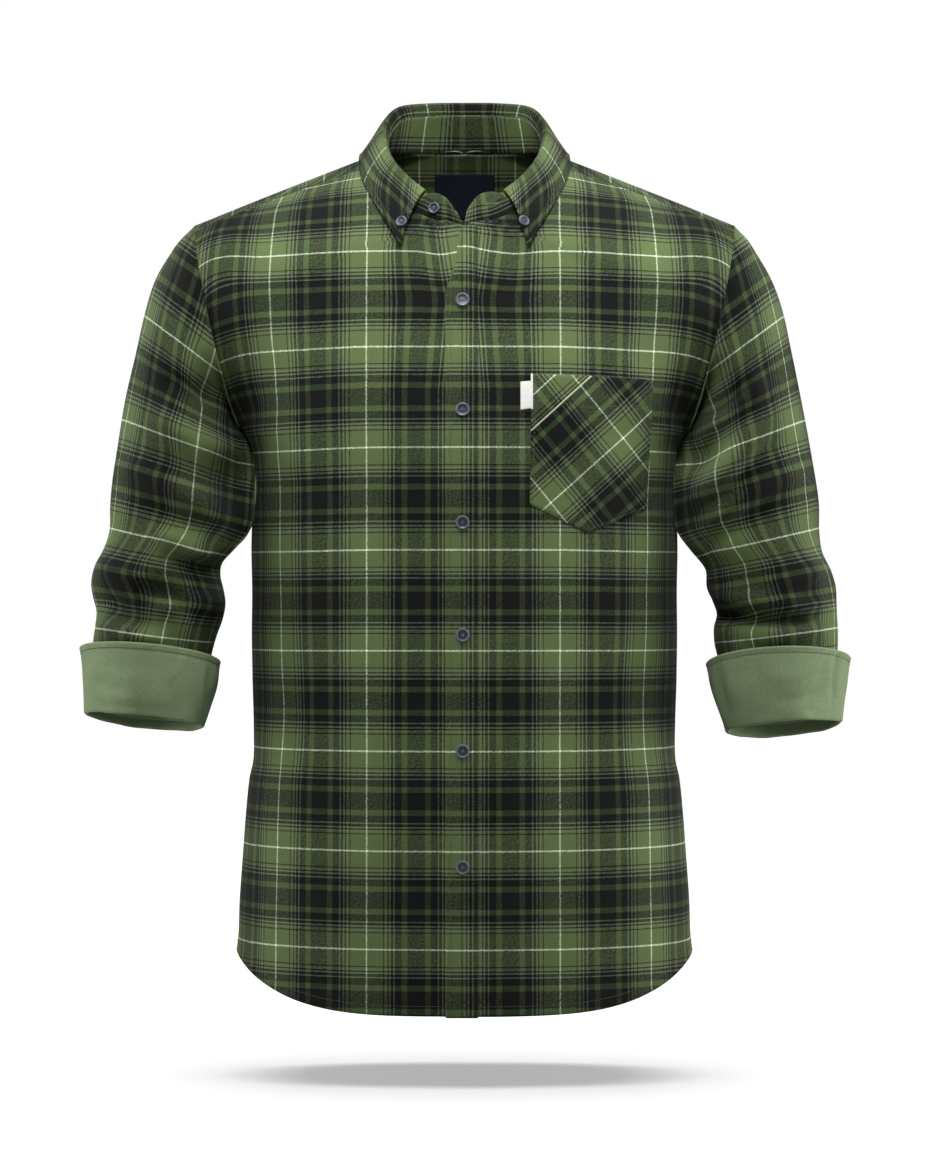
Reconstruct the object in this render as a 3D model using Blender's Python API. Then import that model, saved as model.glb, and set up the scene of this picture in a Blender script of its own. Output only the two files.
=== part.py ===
"""Long-sleeved button-down shirt in checked twill, filled out as it hangs on a body.

Lengths are written in millimetres and turned to metres when a mesh is made.
X runs towards the wearer's left, Y towards the wearer's back, Z up. The origin is on
the shoulder line, at the base of the neck, where the shirt is held up.
"""

import math
from collections import namedtuple

import bpy
import numpy as np
from mathutils import Vector
from mathutils.bvhtree import BVHTree

for old in list(bpy.data.objects):
    bpy.data.objects.remove(old, do_unlink=True)

MM = 0.001

# ---------------------------------------------------------------- driving sizes (mm)
CLOTH = 1.5  # wall of one layer of twill
COLLAR_CLOTH = 1.6  # collar and stand, fused double layers
SEAM_GAP = 0.3  # space kept between two pieces at a seam
SLEEVE_GAP = 0.25  # the sleeve's own share of it, where it folds back on the side
LAP = 2.7  # how far the left front lies in front of the right one
PLACKET_EDGE = 15.5  # the placket's free edge, past the centre line
PLACKET_FOLD = 12.5  # the placket's inner edge
BUTTON_D = 11.5
BUTTON_T = 2.6
SMALL_BUTTON_D = 9.5
FRONT_BUTTON_Z = (-121.0, -212.0, -305.0, -398.0, -494.0, -590.0)
BUTTON_X = -1.6
AROUND_FRONT = (0, 20, 36, 52, 68, 84, 100, 116, 132, 148, 164)  # armhole stations, degrees
AROUND_BACK = (0, 13, 25, 33, 41, 48, 55, 70, 86, 102, 118, 134, 150, 165)
ACROSS = 13  # steps from the centre of a body panel to its edge

# ------------------------------------------------------- armhole: a tilted oval ring
ARMHOLE_TOP = (228.5, 5.0, -51.0)
ARMHOLE_BOTTOM = (188.5, 5.0, -228.0)
ARMHOLE_DEPTH = 60.0  # half of its front-to-back width
ARMHOLE_BOW = 4.5  # how far its front and back edges bow outwards

# ------------------------------------------------------------ body sections, level by level
# side_z and mid_z: height at the side seam and at the centre. wide: half width.
# front, back: depth of the section. square: how square its corners are (0.55 is round).
Level = namedtuple("Level", "side_z mid_z wide front back square")
LEVELS = (
    Level(-228, -228, 188.5, 117.0, 103.0, 0.70),
    Level(-243, -246, 181.6, 117.0, 102.0, 0.70),
    Level(-264, -266, 180.2, 116.5, 101.0, 0.69),
    Level(-292, -294, 180.4, 115.5, 99.5, 0.68),
    Level(-326, -326, 181.2, 114.0, 98.0, 0.68),
    Level(-362, -362, 180.6, 112.5, 97.0, 0.68),
    Level(-400, -400, 180.9, 111.0, 96.5, 0.68),
    Level(-440, -440, 180.2, 110.5, 97.5, 0.68),
    Level(-474, -474, 179.2, 110.5, 99.5, 0.68),
    Level(-503, -503, 179.3, 110.8, 102.0, 0.68),
    Level(-522, -526, 183.0, 111.2, 104.5, 0.68),
    Level(-552, -558, 186.0, 111.8, 107.5, 0.68),
    Level(-590, -600, 188.8, 112.5, 110.0, 0.68),
    Level(-624, -640, 191.2, 113.0, 111.5, 0.68),
    Level(-650, -683, 192.1, 113.3, 112.0, 0.68),
    Level(-666, -713, 193.6, 113.6, 112.0, 0.68),
)
TAIL_POWER = 4.0  # the hem's rise from the tail to the side seam
TAIL_SOFT = 0.85
BACK_TAIL = 8.0  # the back tail is this much longer than the front

# ------------------- rows of the upper body, from the armhole station to the neckline
# edge: armhole station in degrees, + to the front. nx, ny, nz: inner end of the row.
# n_turn, e_turn: plan direction at the inner and the armhole end, degrees off sideways.
# n_pull, e_pull: how long each end holds its direction. n_drop, e_drop: share of the fall.
Row = namedtuple("Row", "edge nx ny nz n_turn n_pull n_drop e_turn e_pull e_drop")
FRONT_ROWS = (
    Row(20, 74.5, -27.0, -2.0, -3, 52, 0.30, 0, 52, 0.38),
    Row(36, 71.5, -45.0, -13.0, 3, 54, 0.30, 9, 56, 0.40),
    Row(52, 63.0, -61.0, -27.0, 6, 56, 0.30, 17, 58, 0.42),
    Row(68, 48.5, -74.0, -40.5, 8, 58, 0.30, 25, 62, 0.42),
    Row(84, 27.0, -83.5, -52.0, 7, 66, 0.28, 32, 64, 0.42),
    Row(100, 0.0, -88.0, -58.5, 3, 76, 0.22, 39, 66, 0.42),
    Row(116, 0.0, -97.0, -92.0, 0, 92, 0.20, 47, 70, 0.42),
    Row(132, 0.0, -104.0, -130.0, 0, 108, 0.16, 56, 74, 0.40),
    Row(148, 0.0, -110.5, -168.0, 0, 122, 0.12, 67, 79, 0.38),
    Row(164, 0.0, -115.0, -203.0, 0, 130, 0.08, 79, 82, 0.34),
)
BACK_ROWS = (
    Row(20, 74.5, -27.0, -2.0, -3, 52, 0.30, 0, 52, 0.38),
    Row(0, 75.0, -2.0, 8.5, 0, 52, 0.34, 0, 52, 0.36),
    Row(-13, 70.0, 18.0, 11.5, 3, 54, 0.30, 3, 54, 0.38),
    Row(-25, 57.0, 38.0, 13.5, 6, 58, 0.28, 7, 58, 0.40),
    Row(-33, 32.0, 52.0, 14.3, 9, 66, 0.30, 12, 64, 0.40),
    Row(-41, 0.0, 57.0, 14.5, 9, 76, 0.34, 17, 70, 0.38),
    Row(-48, 0.0, 77.0, -29.0, 2, 80, 0.30, 21, 70, 0.36),
    Row(-55, 0.0, 91.0, -78.0, 0, 84, 0.20, 25, 62, 0.40),
    Row(-70, 0.0, 97.5, -104.0, 0, 90, 0.20, 31, 57, 0.40),
    Row(-86, 0.0, 101.0, -130.0, 0, 96, 0.18, 37, 54, 0.40),
    Row(-102, 0.0, 103.5, -155.0, 0, 104, 0.16, 44, 52, 0.40),
    Row(-118, 0.0, 104.5, -178.0, 0, 112, 0.14, 52, 50, 0.40),
    Row(-134, 0.0, 104.5, -198.0, 0, 120, 0.12, 61, 50, 0.38),
    Row(-150, 0.0, 104.0, -213.0, 0, 126, 0.10, 71, 51, 0.36),
    Row(-165, 0.0, 103.5, -223.0, 0, 130, 0.06, 81, 59, 0.34),
)
YOKE_ROWS = 8  # of BACK_ROWS, from the front yoke seam to the back yoke seam

# ------------------------------------------------ left front's free edge near the neck
Edge = namedtuple("Edge", "z past")
OPENING = (
    Edge(-58, 2.6),
    Edge(-74, 5.6),
    Edge(-92, 7.0),
    Edge(-104, 12.0),
    Edge(-114, PLACKET_EDGE),
    Edge(-800, PLACKET_EDGE),
)

# ------------------------------------------------------------ sleeve rings, top to cuff
# ox oy oz: outermost point. ix iy iz: innermost point. deep: half depth. lift: how much
# higher the front of the ring is than the middle.
Ring = namedtuple("Ring", "ox oy oz ix iy iz deep lift")
SLEEVE_RIGHT = (
    Ring(246.0, 5, -71, 188.4, 0, -233, 64.0, 0),
    Ring(262.0, 1, -98, 185.8, -13, -240, 64.0, 0),
    Ring(273.0, -3, -132, 183.4, -25, -247, 64.0, 0),
    Ring(281.0, -7, -170, 182.0, -30, -257, 63.0, 0),
    Ring(288.0, -11, -205, 180.6, -34, -268, 61.0, 0),
    Ring(293.5, -15, -237, 179.8, -36, -280, 59.5, 0),
    Ring(297.5, -19, -265, 179.4, -37, -292, 58.0, 0),
    Ring(299.3, -22, -290, 180.2, -38, -303, 57.0, 1),
    Ring(299.6, -25, -311, 185.8, -38, -314, 56.0, 2),
    Ring(304.5, -28, -327, 196.5, -38, -326, 55.0, 3),
    Ring(311.5, -30, -341, 204.8, -38, -337, 54.0, 4),
    Ring(314.2, -31, -355, 206.0, -38, -349, 53.5, 5),
    Ring(312.6, -33, -367, 203.2, -38, -361, 53.0, 6),
    Ring(309.8, -35, -379, 201.4, -39, -373, 53.0, 7),
    Ring(310.8, -37, -391, 203.6, -40, -386, 52.0, 8),
    Ring(313.0, -39, -404, 208.5, -41, -400, 51.0, 8),
    Ring(314.0, -41, -422, 213.0, -42, -418, 50.0, 8),
    Ring(315.0, -43, -444, 215.5, -44, -444, 50.5, 7),
    Ring(315.6, -45, -461, 223.0, -46, -470, 49.5, 6),
)
SLEEVE_LEFT = (
    Ring(244.5, 5, -70, 188.4, 0, -233, 64.0, 0),
    Ring(259.5, 1, -96, 185.8, -13, -240, 64.0, 0),
    Ring(270.5, -3, -127, 183.4, -25, -247, 64.0, 0),
    Ring(278.5, -7, -163, 182.0, -30, -257, 63.0, 0),
    Ring(284.8, -11, -199, 180.6, -34, -268, 61.0, 0),
    Ring(291.0, -15, -232, 179.8, -36, -280, 59.5, 0),
    Ring(296.3, -19, -262, 179.2, -37, -292, 58.0, 0),
    Ring(299.6, -22, -287, 179.6, -38, -303, 57.0, 1),
    Ring(299.4, -25, -311, 182.6, -38, -313, 56.0, 2),
    Ring(301.6, -28, -329, 193.0, -38, -327, 55.0, 3),
    Ring(308.4, -30, -344, 203.0, -38, -342, 54.0, 4),
    Ring(312.6, -31, -358, 204.4, -38, -355, 53.5, 5),
    Ring(313.2, -33, -371, 209.0, -38, -369, 53.0, 6),
    Ring(313.4, -35, -382, 212.6, -39, -381, 53.0, 7),
    Ring(314.0, -37, -393, 210.2, -40, -392, 52.0, 8),
    Ring(314.2, -39, -406, 210.4, -41, -405, 51.0, 9),
    Ring(313.6, -41, -424, 213.6, -42, -421, 50.0, 9),
    Ring(313.2, -43, -446, 216.2, -44, -447, 50.5, 8),
    Ring(313.2, -45, -465, 223.4, -46, -473, 49.5, 7),
)
CUFF_RIGHT = (
    Ring(323.4, -40, -411.0, 205.6, -41, -421.5, 58.0, 11),
    Ring(321.4, -42, -430.0, 208.0, -43, -440.0, 57.5, 9),
    Ring(320.4, -44, -448.0, 213.0, -45, -457.0, 56.5, 8),
    Ring(319.6, -46, -463.5, 218.6, -47, -474.0, 55.0, 6),
)
CUFF_LEFT = (
    Ring(324.6, -40, -420.0, 203.6, -41, -423.5, 58.0, 14),
    Ring(322.6, -42, -436.0, 206.6, -43, -440.0, 57.5, 12),
    Ring(319.6, -44, -454.0, 212.0, -45, -459.0, 56.5, 9),
    Ring(317.4, -46, -471.0, 218.6, -47, -478.0, 55.0, 7),
)
CUFF_CLOTH = 1.8

# ------------------ largest folds of the sleeves, as seen from the front (x outwards)
# from (x0, z0) to (x1, z1). wide: half width. deep: + is a ridge, - a trough.
Fold = namedtuple("Fold", "x0 z0 x1 z1 wide deep")
FOLDS_RIGHT = (
    Fold(203, -222, 186, -300, 9, -5.0),
    Fold(286, -236, 214, -262, 11, -3.0),
    Fold(284, -262, 226, -312, 12, -3.5),
    Fold(246, -292, 208, -338, 10, 3.0),
    Fold(266, -352, 236, -372, 10, -5.0),
    Fold(296, -364, 262, -384, 10, 3.0),
)
FOLDS_LEFT = (
    Fold(200, -222, 186, -302, 9, -5.0),
    Fold(236, -178, 200, -262, 10, 4.0),
    Fold(240, -210, 192, -272, 9, -4.5),
    Fold(262, -262, 214, -318, 12, -3.0),
    Fold(286, -379, 214, -381, 9, -5.0),
    Fold(290, -364, 230, -362, 10, 3.0),
)

# --------------------------------------- collar, from the centre of the back to the front
# t: stand's top edge. f: crest of the fold. e: outer edge of the leaf. bow: roll of the leaf.
Collar = namedtuple("Collar", "tx ty tz fx fy fz ex ey ez bow")
COLLAR = (
    Collar(0.0, 50.0, 46.5, 0.0, 54.0, 57.4, 0.0, 71.0, 5.0, 2.0),
    Collar(28.0, 47.0, 46.0, 29.8, 51.0, 56.8, 34.0, 68.0, 6.0, 2.0),
    Collar(52.0, 36.5, 42.0, 55.4, 40.5, 53.0, 64.0, 53.0, 8.6, 2.0),
    Collar(62.5, 21.0, 31.0, 66.5, 23.5, 41.6, 81.0, 29.0, 10.4, 1.5),
    Collar(65.4, 4.5, 17.5, 69.3, 5.5, 27.4, 88.2, 1.0, 8.2, 1.0),
    Collar(62.6, -15.0, 3.5, 66.0, -15.5, 12.8, 87.8, -32.0, -6.6, 2.0),
    Collar(55.8, -34.5, -10.0, 58.7, -36.0, -1.6, 82.4, -54.5, -22.6, 3.5),
    Collar(45.0, -55.0, -23.5, 46.0, -57.5, -16.4, 66.6, -82.5, -50.6, 5.0),
    Collar(33.0, -72.5, -33.5, 33.6, -74.5, -27.6, 52.6, -96.5, -74.0, 4.0),
)
# the stand's tongue, past the leaf: its top edge, and the height where it is cut round
Tongue = namedtuple("Tongue", "x y z")
TONGUE = (Tongue(23.0, -80.5, -31.0), Tongue(14.6, -85.0, -36.5), Tongue(6.4, -88.0, -49.0))

# ------------------------------------------------- pocket, tab and label (front view)
POCKET_TOP = ((55.8, -182.5), (156.8, -186.3))
POCKET_LOW = ((54.1, -289.9), (151.0, -293.6))
POCKET_TIP = (106.9, -314.2)
TAB = ((46.4, -187.6), (55.0, -186.4), (55.0, -210.2), (46.4, -211.6))
LABEL_HALF = 25.5
LABEL_TOP = -3.0
LABEL_LOW = -40.0
RAISED_GAP = 0.5
RAISED_CLOTH = 1.2
POCKET_GAP = 1.2  # the pocket bows a little off the chest


# ================================================================= smooth tables
def flow(rows, at):
    """Values at fractional row numbers, on smooth curves through the table's rows."""
    rows = np.asarray(rows, float)
    at = np.clip(np.asarray(at, float), 0, len(rows) - 1)
    steps = np.diff(rows, axis=0)
    slope = np.empty_like(rows)
    slope[1:-1] = (steps[:-1] + steps[1:]) / 2
    slope[0] = steps[0]
    slope[-1] = steps[-1]
    low = np.minimum(at.astype(int), len(rows) - 2)
    t = (at - low)[..., None]
    a, b = rows[low], rows[low + 1]
    return (
        a * (1 + 2 * t) * (1 - t) ** 2
        + slope[low] * t * (1 - t) ** 2
        + b * t * t * (3 - 2 * t)
        + slope[low + 1] * t * t * (t - 1)
    )


def ease(value, start, end):
    """0 at start, 1 at end, level at both."""
    t = np.clip((np.asarray(value, float) - start) / (end - start), 0, 1)
    return t * t * (3 - 2 * t)


def bezier(controls, u):
    """Points of cubic curves: controls is (..., 4, 3), u a matching array."""
    u = np.asarray(u, float)[..., None]
    a, b, c, d = (controls[..., k, :] for k in range(4))
    return a * (1 - u) ** 3 + 3 * b * u * (1 - u) ** 2 + 3 * c * u * u * (1 - u) + d * u**3


# ================================================================= body surface
def armhole(degrees):
    """A point of the armhole seam, on the +X side. Positive stations run down the front."""
    phi = np.radians(np.asarray(degrees, float))
    top, bottom = np.array(ARMHOLE_TOP), np.array(ARMHOLE_BOTTOM)
    mid, half = (top + bottom) / 2, (top - bottom) / 2
    point = mid + np.cos(phi)[..., None] * half
    point[..., 0] += ARMHOLE_BOW * np.abs(np.sin(phi))
    point[..., 1] -= ARMHOLE_DEPTH * np.sin(phi)
    return point


def row_controls(row):
    """The four control points of one upper row."""
    facing = -1.0 if row.edge > 0 else 1.0
    start = np.array([row.nx, row.ny, row.nz])
    end = armhole(row.edge)
    fall = end[2] - start[2]
    n, e = math.radians(row.n_turn), math.radians(row.e_turn)
    leave = [math.cos(n) * row.n_pull, facing * math.sin(n) * row.n_pull, fall * row.n_drop]
    arrive = [-math.cos(e) * row.e_pull, facing * math.sin(e) * row.e_pull, -fall * row.e_drop]
    return np.array([start, start + leave, end + arrive, end])


def level_controls(level, facing):
    """The four control points of one section below the armhole."""
    depth = facing * (level.front if facing < 0 else level.back)
    square = level.square
    seam_y = ARMHOLE_BOTTOM[1]
    side = seam_y + (depth - seam_y) * square
    return np.array(
        [
            [0.0, depth, level.side_z],
            [level.wide * square, depth, level.side_z],
            [level.wide, side, level.side_z],
            [level.wide, seam_y, level.side_z],
        ]
    )


FRONT_CONTROLS = np.array(
    [row_controls(r) for r in FRONT_ROWS] + [level_controls(v, -1.0) for v in LEVELS]
)
BACK_CONTROLS = np.array(
    [row_controls(r) for r in BACK_ROWS] + [level_controls(v, 1.0) for v in LEVELS]
)
FALL = np.array([[v.mid_z - v.side_z] for v in LEVELS])


def body_point(facing, row, u):
    """A point of the +X half. row counts down the rows, u runs from the centre out."""
    controls, upper = (
        (FRONT_CONTROLS, len(FRONT_ROWS)) if facing < 0 else (BACK_CONTROLS, len(BACK_ROWS))
    )
    shape = controls.shape
    at = flow(controls.reshape(shape[0], -1), row).reshape(np.shape(row) + (4, 3))
    point = bezier(at, u)
    level = np.asarray(row, float) - upper
    reach = np.abs(point[..., 0]) / np.maximum(at[..., 3, 0], 1.0)
    tail = (1 - np.clip(reach, 0, 1) ** TAIL_POWER) ** TAIL_SOFT
    drop = flow(FALL, np.maximum(level, 0))[..., 0] * (level > 0)
    if facing > 0:
        drop = drop - BACK_TAIL * ease(level, 10, len(LEVELS) - 1)
    point[..., 2] += drop * tail
    return point


def lap(point, side):
    """Moves the left front out, in front of the right one, near the centre line."""
    if side > 0:
        point[..., 1] -= LAP * (1 - ease(np.abs(point[..., 0]), 20, 70))
    point[..., 0] *= side
    return point


# ================================================================= sleeves
def ring_controls(ring, bow=0.0):
    """Centre, outward half axis and front half axis of a ring."""
    outer = np.array([ring.ox, ring.oy, ring.oz])
    inner = np.array([ring.ix, ring.iy, ring.iz])
    return np.concatenate(
        [(outer + inner) / 2, (outer - inner) / 2, [bow, -ring.deep, ring.lift]]
    )


def armhole_ring():
    return ring_controls(Ring(*ARMHOLE_TOP, *ARMHOLE_BOTTOM, ARMHOLE_DEPTH, 0), ARMHOLE_BOW)


def press(point, folds, facing):
    """Lays the folds into a sleeve, on its front (facing -1) or its back half."""
    x, z = np.abs(point[..., 0]), point[..., 2]
    shift = np.zeros_like(x)
    for fold in folds:
        run = np.array([fold.x1 - fold.x0, fold.z1 - fold.z0])
        length = np.hypot(*run)
        dx, dz = x - fold.x0, z - fold.z0
        along = (dx * run[0] + dz * run[1]) / length**2
        across = (dz * run[0] - dx * run[1]) / length
        ends = ease(along, -0.15, 0.2) * (1 - ease(along, 0.75, 1.1))
        shift += fold.deep * ends * np.exp(-((across / fold.wide) ** 2))
    point[..., 1] += facing * shift
    return point


def tube(rings, ring, degrees, folds=()):
    """A point on rings lofted from the armhole down, on the +X side."""
    phi = np.radians(np.asarray(degrees, float))[..., None]
    at = flow(rings, ring)
    centre, out, front = at[..., 0:3], at[..., 3:6], at[..., 6:9]
    bowed = np.sin(phi) * front
    bowed[..., 0] = np.abs(np.sin(phi[..., 0])) * front[..., 0]
    point = centre + np.cos(phi) * out + bowed
    if folds:
        face = np.sin(phi[..., 0])
        bent = press(point.copy(), folds, -1.0)
        hold = ease(np.asarray(ring, float), 0, 1.5) * ease(face, 0.0, 0.35)
        point = point + (bent - point) * hold[..., None]
    return point


# ================================================================= meshes
class Sheet:
    """A cloth surface: points, and faces of point numbers, wound to face outwards."""

    def __init__(self):
        self.points = []
        self.faces = []
        self.known = {}

    def add(self, point):
        key = tuple(np.round(point, 3) + 0.0)
        if key not in self.known:
            self.known[key] = len(self.points)
            self.points.append(np.asarray(point, float))
        return self.known[key]

    def grid(self, points, turned=False, closed=False):
        """Faces of a grid of points; returns the faces' numbers."""
        ids = [[self.add(p) for p in row] for row in points]
        first = len(self.faces)
        across = len(ids[0]) if closed else len(ids[0]) - 1
        for i in range(len(ids) - 1):
            for j in range(across):
                k = (j + 1) % len(ids[0])
                face = [ids[i][j], ids[i][k], ids[i + 1][k], ids[i + 1][j]]
                for cut in (face[:3], [face[0], face[2], face[3]]):
                    if len(set(cut)) == 3:
                        self.faces.append(cut[::-1] if turned else cut)
        return list(range(first, len(self.faces)))

    def normals(self):
        points = np.array(self.points)
        total = np.zeros_like(points)
        for face in self.faces:
            corners = points[face]
            normal = np.cross(corners[1] - corners[0], corners[2] - corners[0])
            normal = normal / max(np.linalg.norm(normal), 1e-9)
            for k in range(3):
                a, b = corners[k - 1] - corners[k], corners[k - 2] - corners[k]
                size = max(np.linalg.norm(a) * np.linalg.norm(b), 1e-9)
                total[face[k]] += normal * math.acos(np.clip(a.dot(b) / size, -1, 1))
        return total / np.maximum(np.linalg.norm(total, axis=1), 1e-9)[:, None]


def material(name, colour, roughness=0.85, metallic=0.0):
    made = bpy.data.materials.new(name)
    made.use_nodes = True
    shader = made.node_tree.nodes["Principled BSDF"]
    shader.inputs["Base Color"].default_value = (*colour, 1.0)
    shader.inputs["Roughness"].default_value = roughness
    shader.inputs["Metallic"].default_value = metallic
    return made


def publish(name, points, faces, slot):
    mesh = bpy.data.meshes.new(name)
    mesh.from_pydata([tuple(p * MM) for p in points], [], [list(map(int, f)) for f in faces])
    mesh.materials.append(slot)
    mesh.shade_smooth()
    mesh.validate()
    obj = bpy.data.objects.new(name, mesh)
    bpy.context.scene.collection.objects.link(obj)
    return obj


def wall(name, sheet, chosen, directions, slot, outer=0.0, inner=-CLOTH, gap=SEAM_GAP / 2,
         parted=None):
    """A closed wall over the chosen faces, from outer to inner along the directions.

    Its rim is drawn back by gap, along the cloth, or along parted[number] where the seam
    joins two panels that lie face to face.
    """
    parted = parted or {}
    faces = [sheet.faces[f] for f in chosen]
    used = sorted({v for face in faces for v in face})
    index = {v: k for k, v in enumerate(used)}
    points = np.array(sheet.points)[used]
    ways = directions[used]
    faces = [[index[v] for v in face] for face in faces]
    edges = {}
    for face in faces:
        for a, b in zip(face, face[1:] + face[:1]):
            edges[(a, b)] = face
    rim = [(a, b, face) for (a, b), face in edges.items() if (b, a) not in edges]
    pulls = {}
    for a, b, face in rim:
        along = points[b] - points[a]
        along = along / np.linalg.norm(along)
        into = points[face].mean(axis=0) - (points[a] + points[b]) / 2
        into = into - along * into.dot(along)
        into = into / np.linalg.norm(into)
        if used[a] in parted and used[b] in parted:
            into = parted[used[a]]
        for v in (a, b):
            pulls.setdefault(v, []).append(into)
    for v, found in pulls.items():
        total = np.sum(found, axis=0)
        share = 1.0 + (found[0].dot(found[1]) if len(found) == 2 else 0.0)
        points[v] = points[v] + gap * total / max(share, 0.5)
    count = len(points)
    made = np.concatenate([points + ways * outer, points + ways * inner])
    solid = [list(face) for face in faces]
    solid += [[v + count for v in face[::-1]] for face in faces]
    for a, b, _ in rim:
        if used[a] < used[b]:
            solid += [[b, a, a + count], [b, a + count, b + count]]
        else:
            solid += [[b, a, b + count], [a, a + count, b + count]]
    return publish(name, made, solid, slot)


CHECKED = material("checked_twill", (0.065, 0.095, 0.045))
REVERSE = material("twill_reverse", (0.17, 0.24, 0.12))
NAVY = material("navy_tape", (0.015, 0.02, 0.05))
WHITE = material("white_tape", (0.75, 0.76, 0.74))
BUTTON = material("button_slate", (0.10, 0.15, 0.22), 0.35)

# ------------------------------------------------------------------ body and sleeves
FRONT_STATIONS = len(FRONT_ROWS) + len(LEVELS) - 1
BACK_STATIONS = len(BACK_ROWS) + len(LEVELS) - 1
across = np.linspace(0, 1, ACROSS + 1)
body = Sheet()
panel = {"front_right": [], "front_left": [], "yoke": [], "back": []}

NECK_ROWS = 6  # rows of each table that start on the neckline
centre_row = NECK_ROWS - 1
opening = np.array(OPENING)

for side, name in ((-1, "front_right"), (1, "front_left")):
    rows = np.arange(FRONT_STATIONS + 1)
    grid = body_point(-1.0, *np.broadcast_arrays(rows[:, None], across[None, :]))
    grid = lap(grid, side)
    panel[name] += body.grid(grid, turned=side > 0)
    middle = grid[centre_row:, 0]
    past = np.interp(-middle[:, 2], -opening[:, 0], opening[:, 1]) if side > 0 else 12.0
    strip = middle.copy()
    strip[:, 0] = -side * past
    panel[name] += body.grid(np.stack([strip, middle], axis=1), turned=side > 0)

for side in (-1, 1):
    for name, rows in (
        ("yoke", np.arange(YOKE_ROWS)),
        ("back", np.arange(YOKE_ROWS - 1, BACK_STATIONS + 1)),
    ):
        grid = body_point(1.0, *np.broadcast_arrays(rows[:, None], across[None, :]))
        grid[..., 0] *= side
        panel[name] += body.grid(grid, turned=side < 0)

around = np.array([*AROUND_FRONT, 180] + [-a for a in AROUND_BACK[:0:-1]])
# Each sleeve is a long bent tube, in two lengths that meet just above the elbow.
ELBOW_ROW = 8
sleeves = []
for word, side, rings, folds in (
    ("right", -1, SLEEVE_RIGHT, FOLDS_RIGHT),
    ("left", 1, SLEEVE_LEFT, FOLDS_LEFT),
):
    controls = np.array([armhole_ring()] + [ring_controls(r) for r in rings])
    rows = np.arange(len(controls))
    grid = tube(controls, *np.broadcast_arrays(rows[:, None], around[None, :]), folds)
    grid[..., 0] *= side
    for name, length in (
        (f"sleeve_{word}_upper", grid[: ELBOW_ROW + 1]),
        (f"sleeve_{word}_lower", grid[ELBOW_ROW:]),
    ):
        panel[name] = body.grid(length, turned=side > 0, closed=True)
        sleeves.append(name)

# The stand rises from the neckline: its lower edge shares the neckline's points.
neck_back = [body_point(1.0, r, 0.0) for r in range(NECK_ROWS - 1, 0, -1)]
neck_front = [body_point(-1.0, r, 0.0) for r in range(NECK_ROWS)]
collar = np.array(COLLAR)
LEAF_END = 8.0  # the table's row where the leaf starts at the front
stand_at = np.array([0.0, 1.0, 2.0, 3.0, 4.0, 4.9, 5.7, 6.7, LEAF_END])
stand_top = [flow(collar[:, 0:3], s) for s in stand_at]
stand_top += [np.array([t.x, t.y, t.z]) for t in TONGUE]
neck_half = neck_back + neck_front
neck_half.insert(-1, (neck_half[-2] + neck_half[-1]) / 2)
STAND_STEPS = 2
stand_columns = []
for side in (-1, 1):
    for low, top in zip(neck_half, stand_top):
        low = lap(low.copy(), side)
        lean = top * np.array([side, 1, 1])
        stand_columns.append([low + (lean - low) * t for t in np.linspace(0, 1, STAND_STEPS + 1)])
half = len(neck_half)
ordered = stand_columns[:half][::-1] + stand_columns[half + 1 :]
panel["collar_stand"] = body.grid(np.array(ordered).transpose(1, 0, 2), turned=True)

directions = body.normals()
hole_top, hole_bottom = np.array(ARMHOLE_TOP), np.array(ARMHOLE_BOTTOM)
hole_axis = np.cross(hole_top - hole_bottom, [0, -1, 0])
hole_axis = hole_axis / np.linalg.norm(hole_axis)
outward = {}
inward = {}
for side in (-1, 1):
    flip = np.array([side, 1, 1])
    for degrees in around:
        point = armhole(degrees)
        radial = (point - (hole_top + hole_bottom) / 2) * flip
        number = body.add(point * flip)
        directions[number] = radial / np.linalg.norm(radial)
        outward[number] = hole_axis * flip
        inward[number] = -hole_axis * flip

for name in ("front_right", "front_left", "yoke", "back"):
    wall(name, body, panel[name], directions, CHECKED, parted=inward)
for name in sleeves:
    wall(name, body, panel[name], directions, CHECKED, gap=SLEEVE_GAP, parted=outward)
wall("collar_stand", body, panel["collar_stand"], directions, CHECKED, inner=-COLLAR_CLOTH)

# ------------------------------------------------------------------------------ cuffs
for name, side, rings in (("cuff_right", -1, CUFF_RIGHT), ("cuff_left", 1, CUFF_LEFT)):
    sheet = Sheet()
    controls = np.array([ring_controls(r) for r in rings])
    turns = np.arange(0, 360, 15)
    rows = np.arange(len(controls))
    grid = tube(controls, *np.broadcast_arrays(rows[:, None], turns[None, :]))
    grid[..., 0] *= side
    faces = sheet.grid(grid, turned=side < 0, closed=True)
    wall(name, sheet, faces, sheet.normals(), REVERSE, inner=-CUFF_CLOTH)

# -------------------------------------------------------------------------- collar leaf
leaf = Sheet()
STATIONS = np.array([0, 0.7, 1.4, 2.0, 2.6, 3.3, 4.0, 4.8, 5.6, 6.4, 7.2, LEAF_END])
FALL_STEPS = (0.12, 0.4, 0.7, 1.0)


def leaf_rung(station):
    """The leaf's section: up from the stand, over the fold and down to its outer edge."""
    c = Collar(*flow(collar, station))
    top = np.array([c.tx, c.ty, c.tz])
    crest = np.array([c.fx, c.fy, c.fz])
    edge = np.array([c.ex, c.ey, c.ez])
    out = edge - top
    out[2] = 0
    out = out / np.linalg.norm(out)
    rise = crest - top
    clear = rise / np.linalg.norm(rise) * 1.0
    rung = [top - out * COLLAR_CLOTH / 2 + clear, top + rise * 0.7 - out * 1.6]
    rung.append(crest)
    for t in FALL_STEPS:
        roll = c.bow * 4 * t * (1 - t)
        rung.append(crest + (edge - crest) * t + out * (roll + 1.6 * (1 - t)))
    return rung


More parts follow.
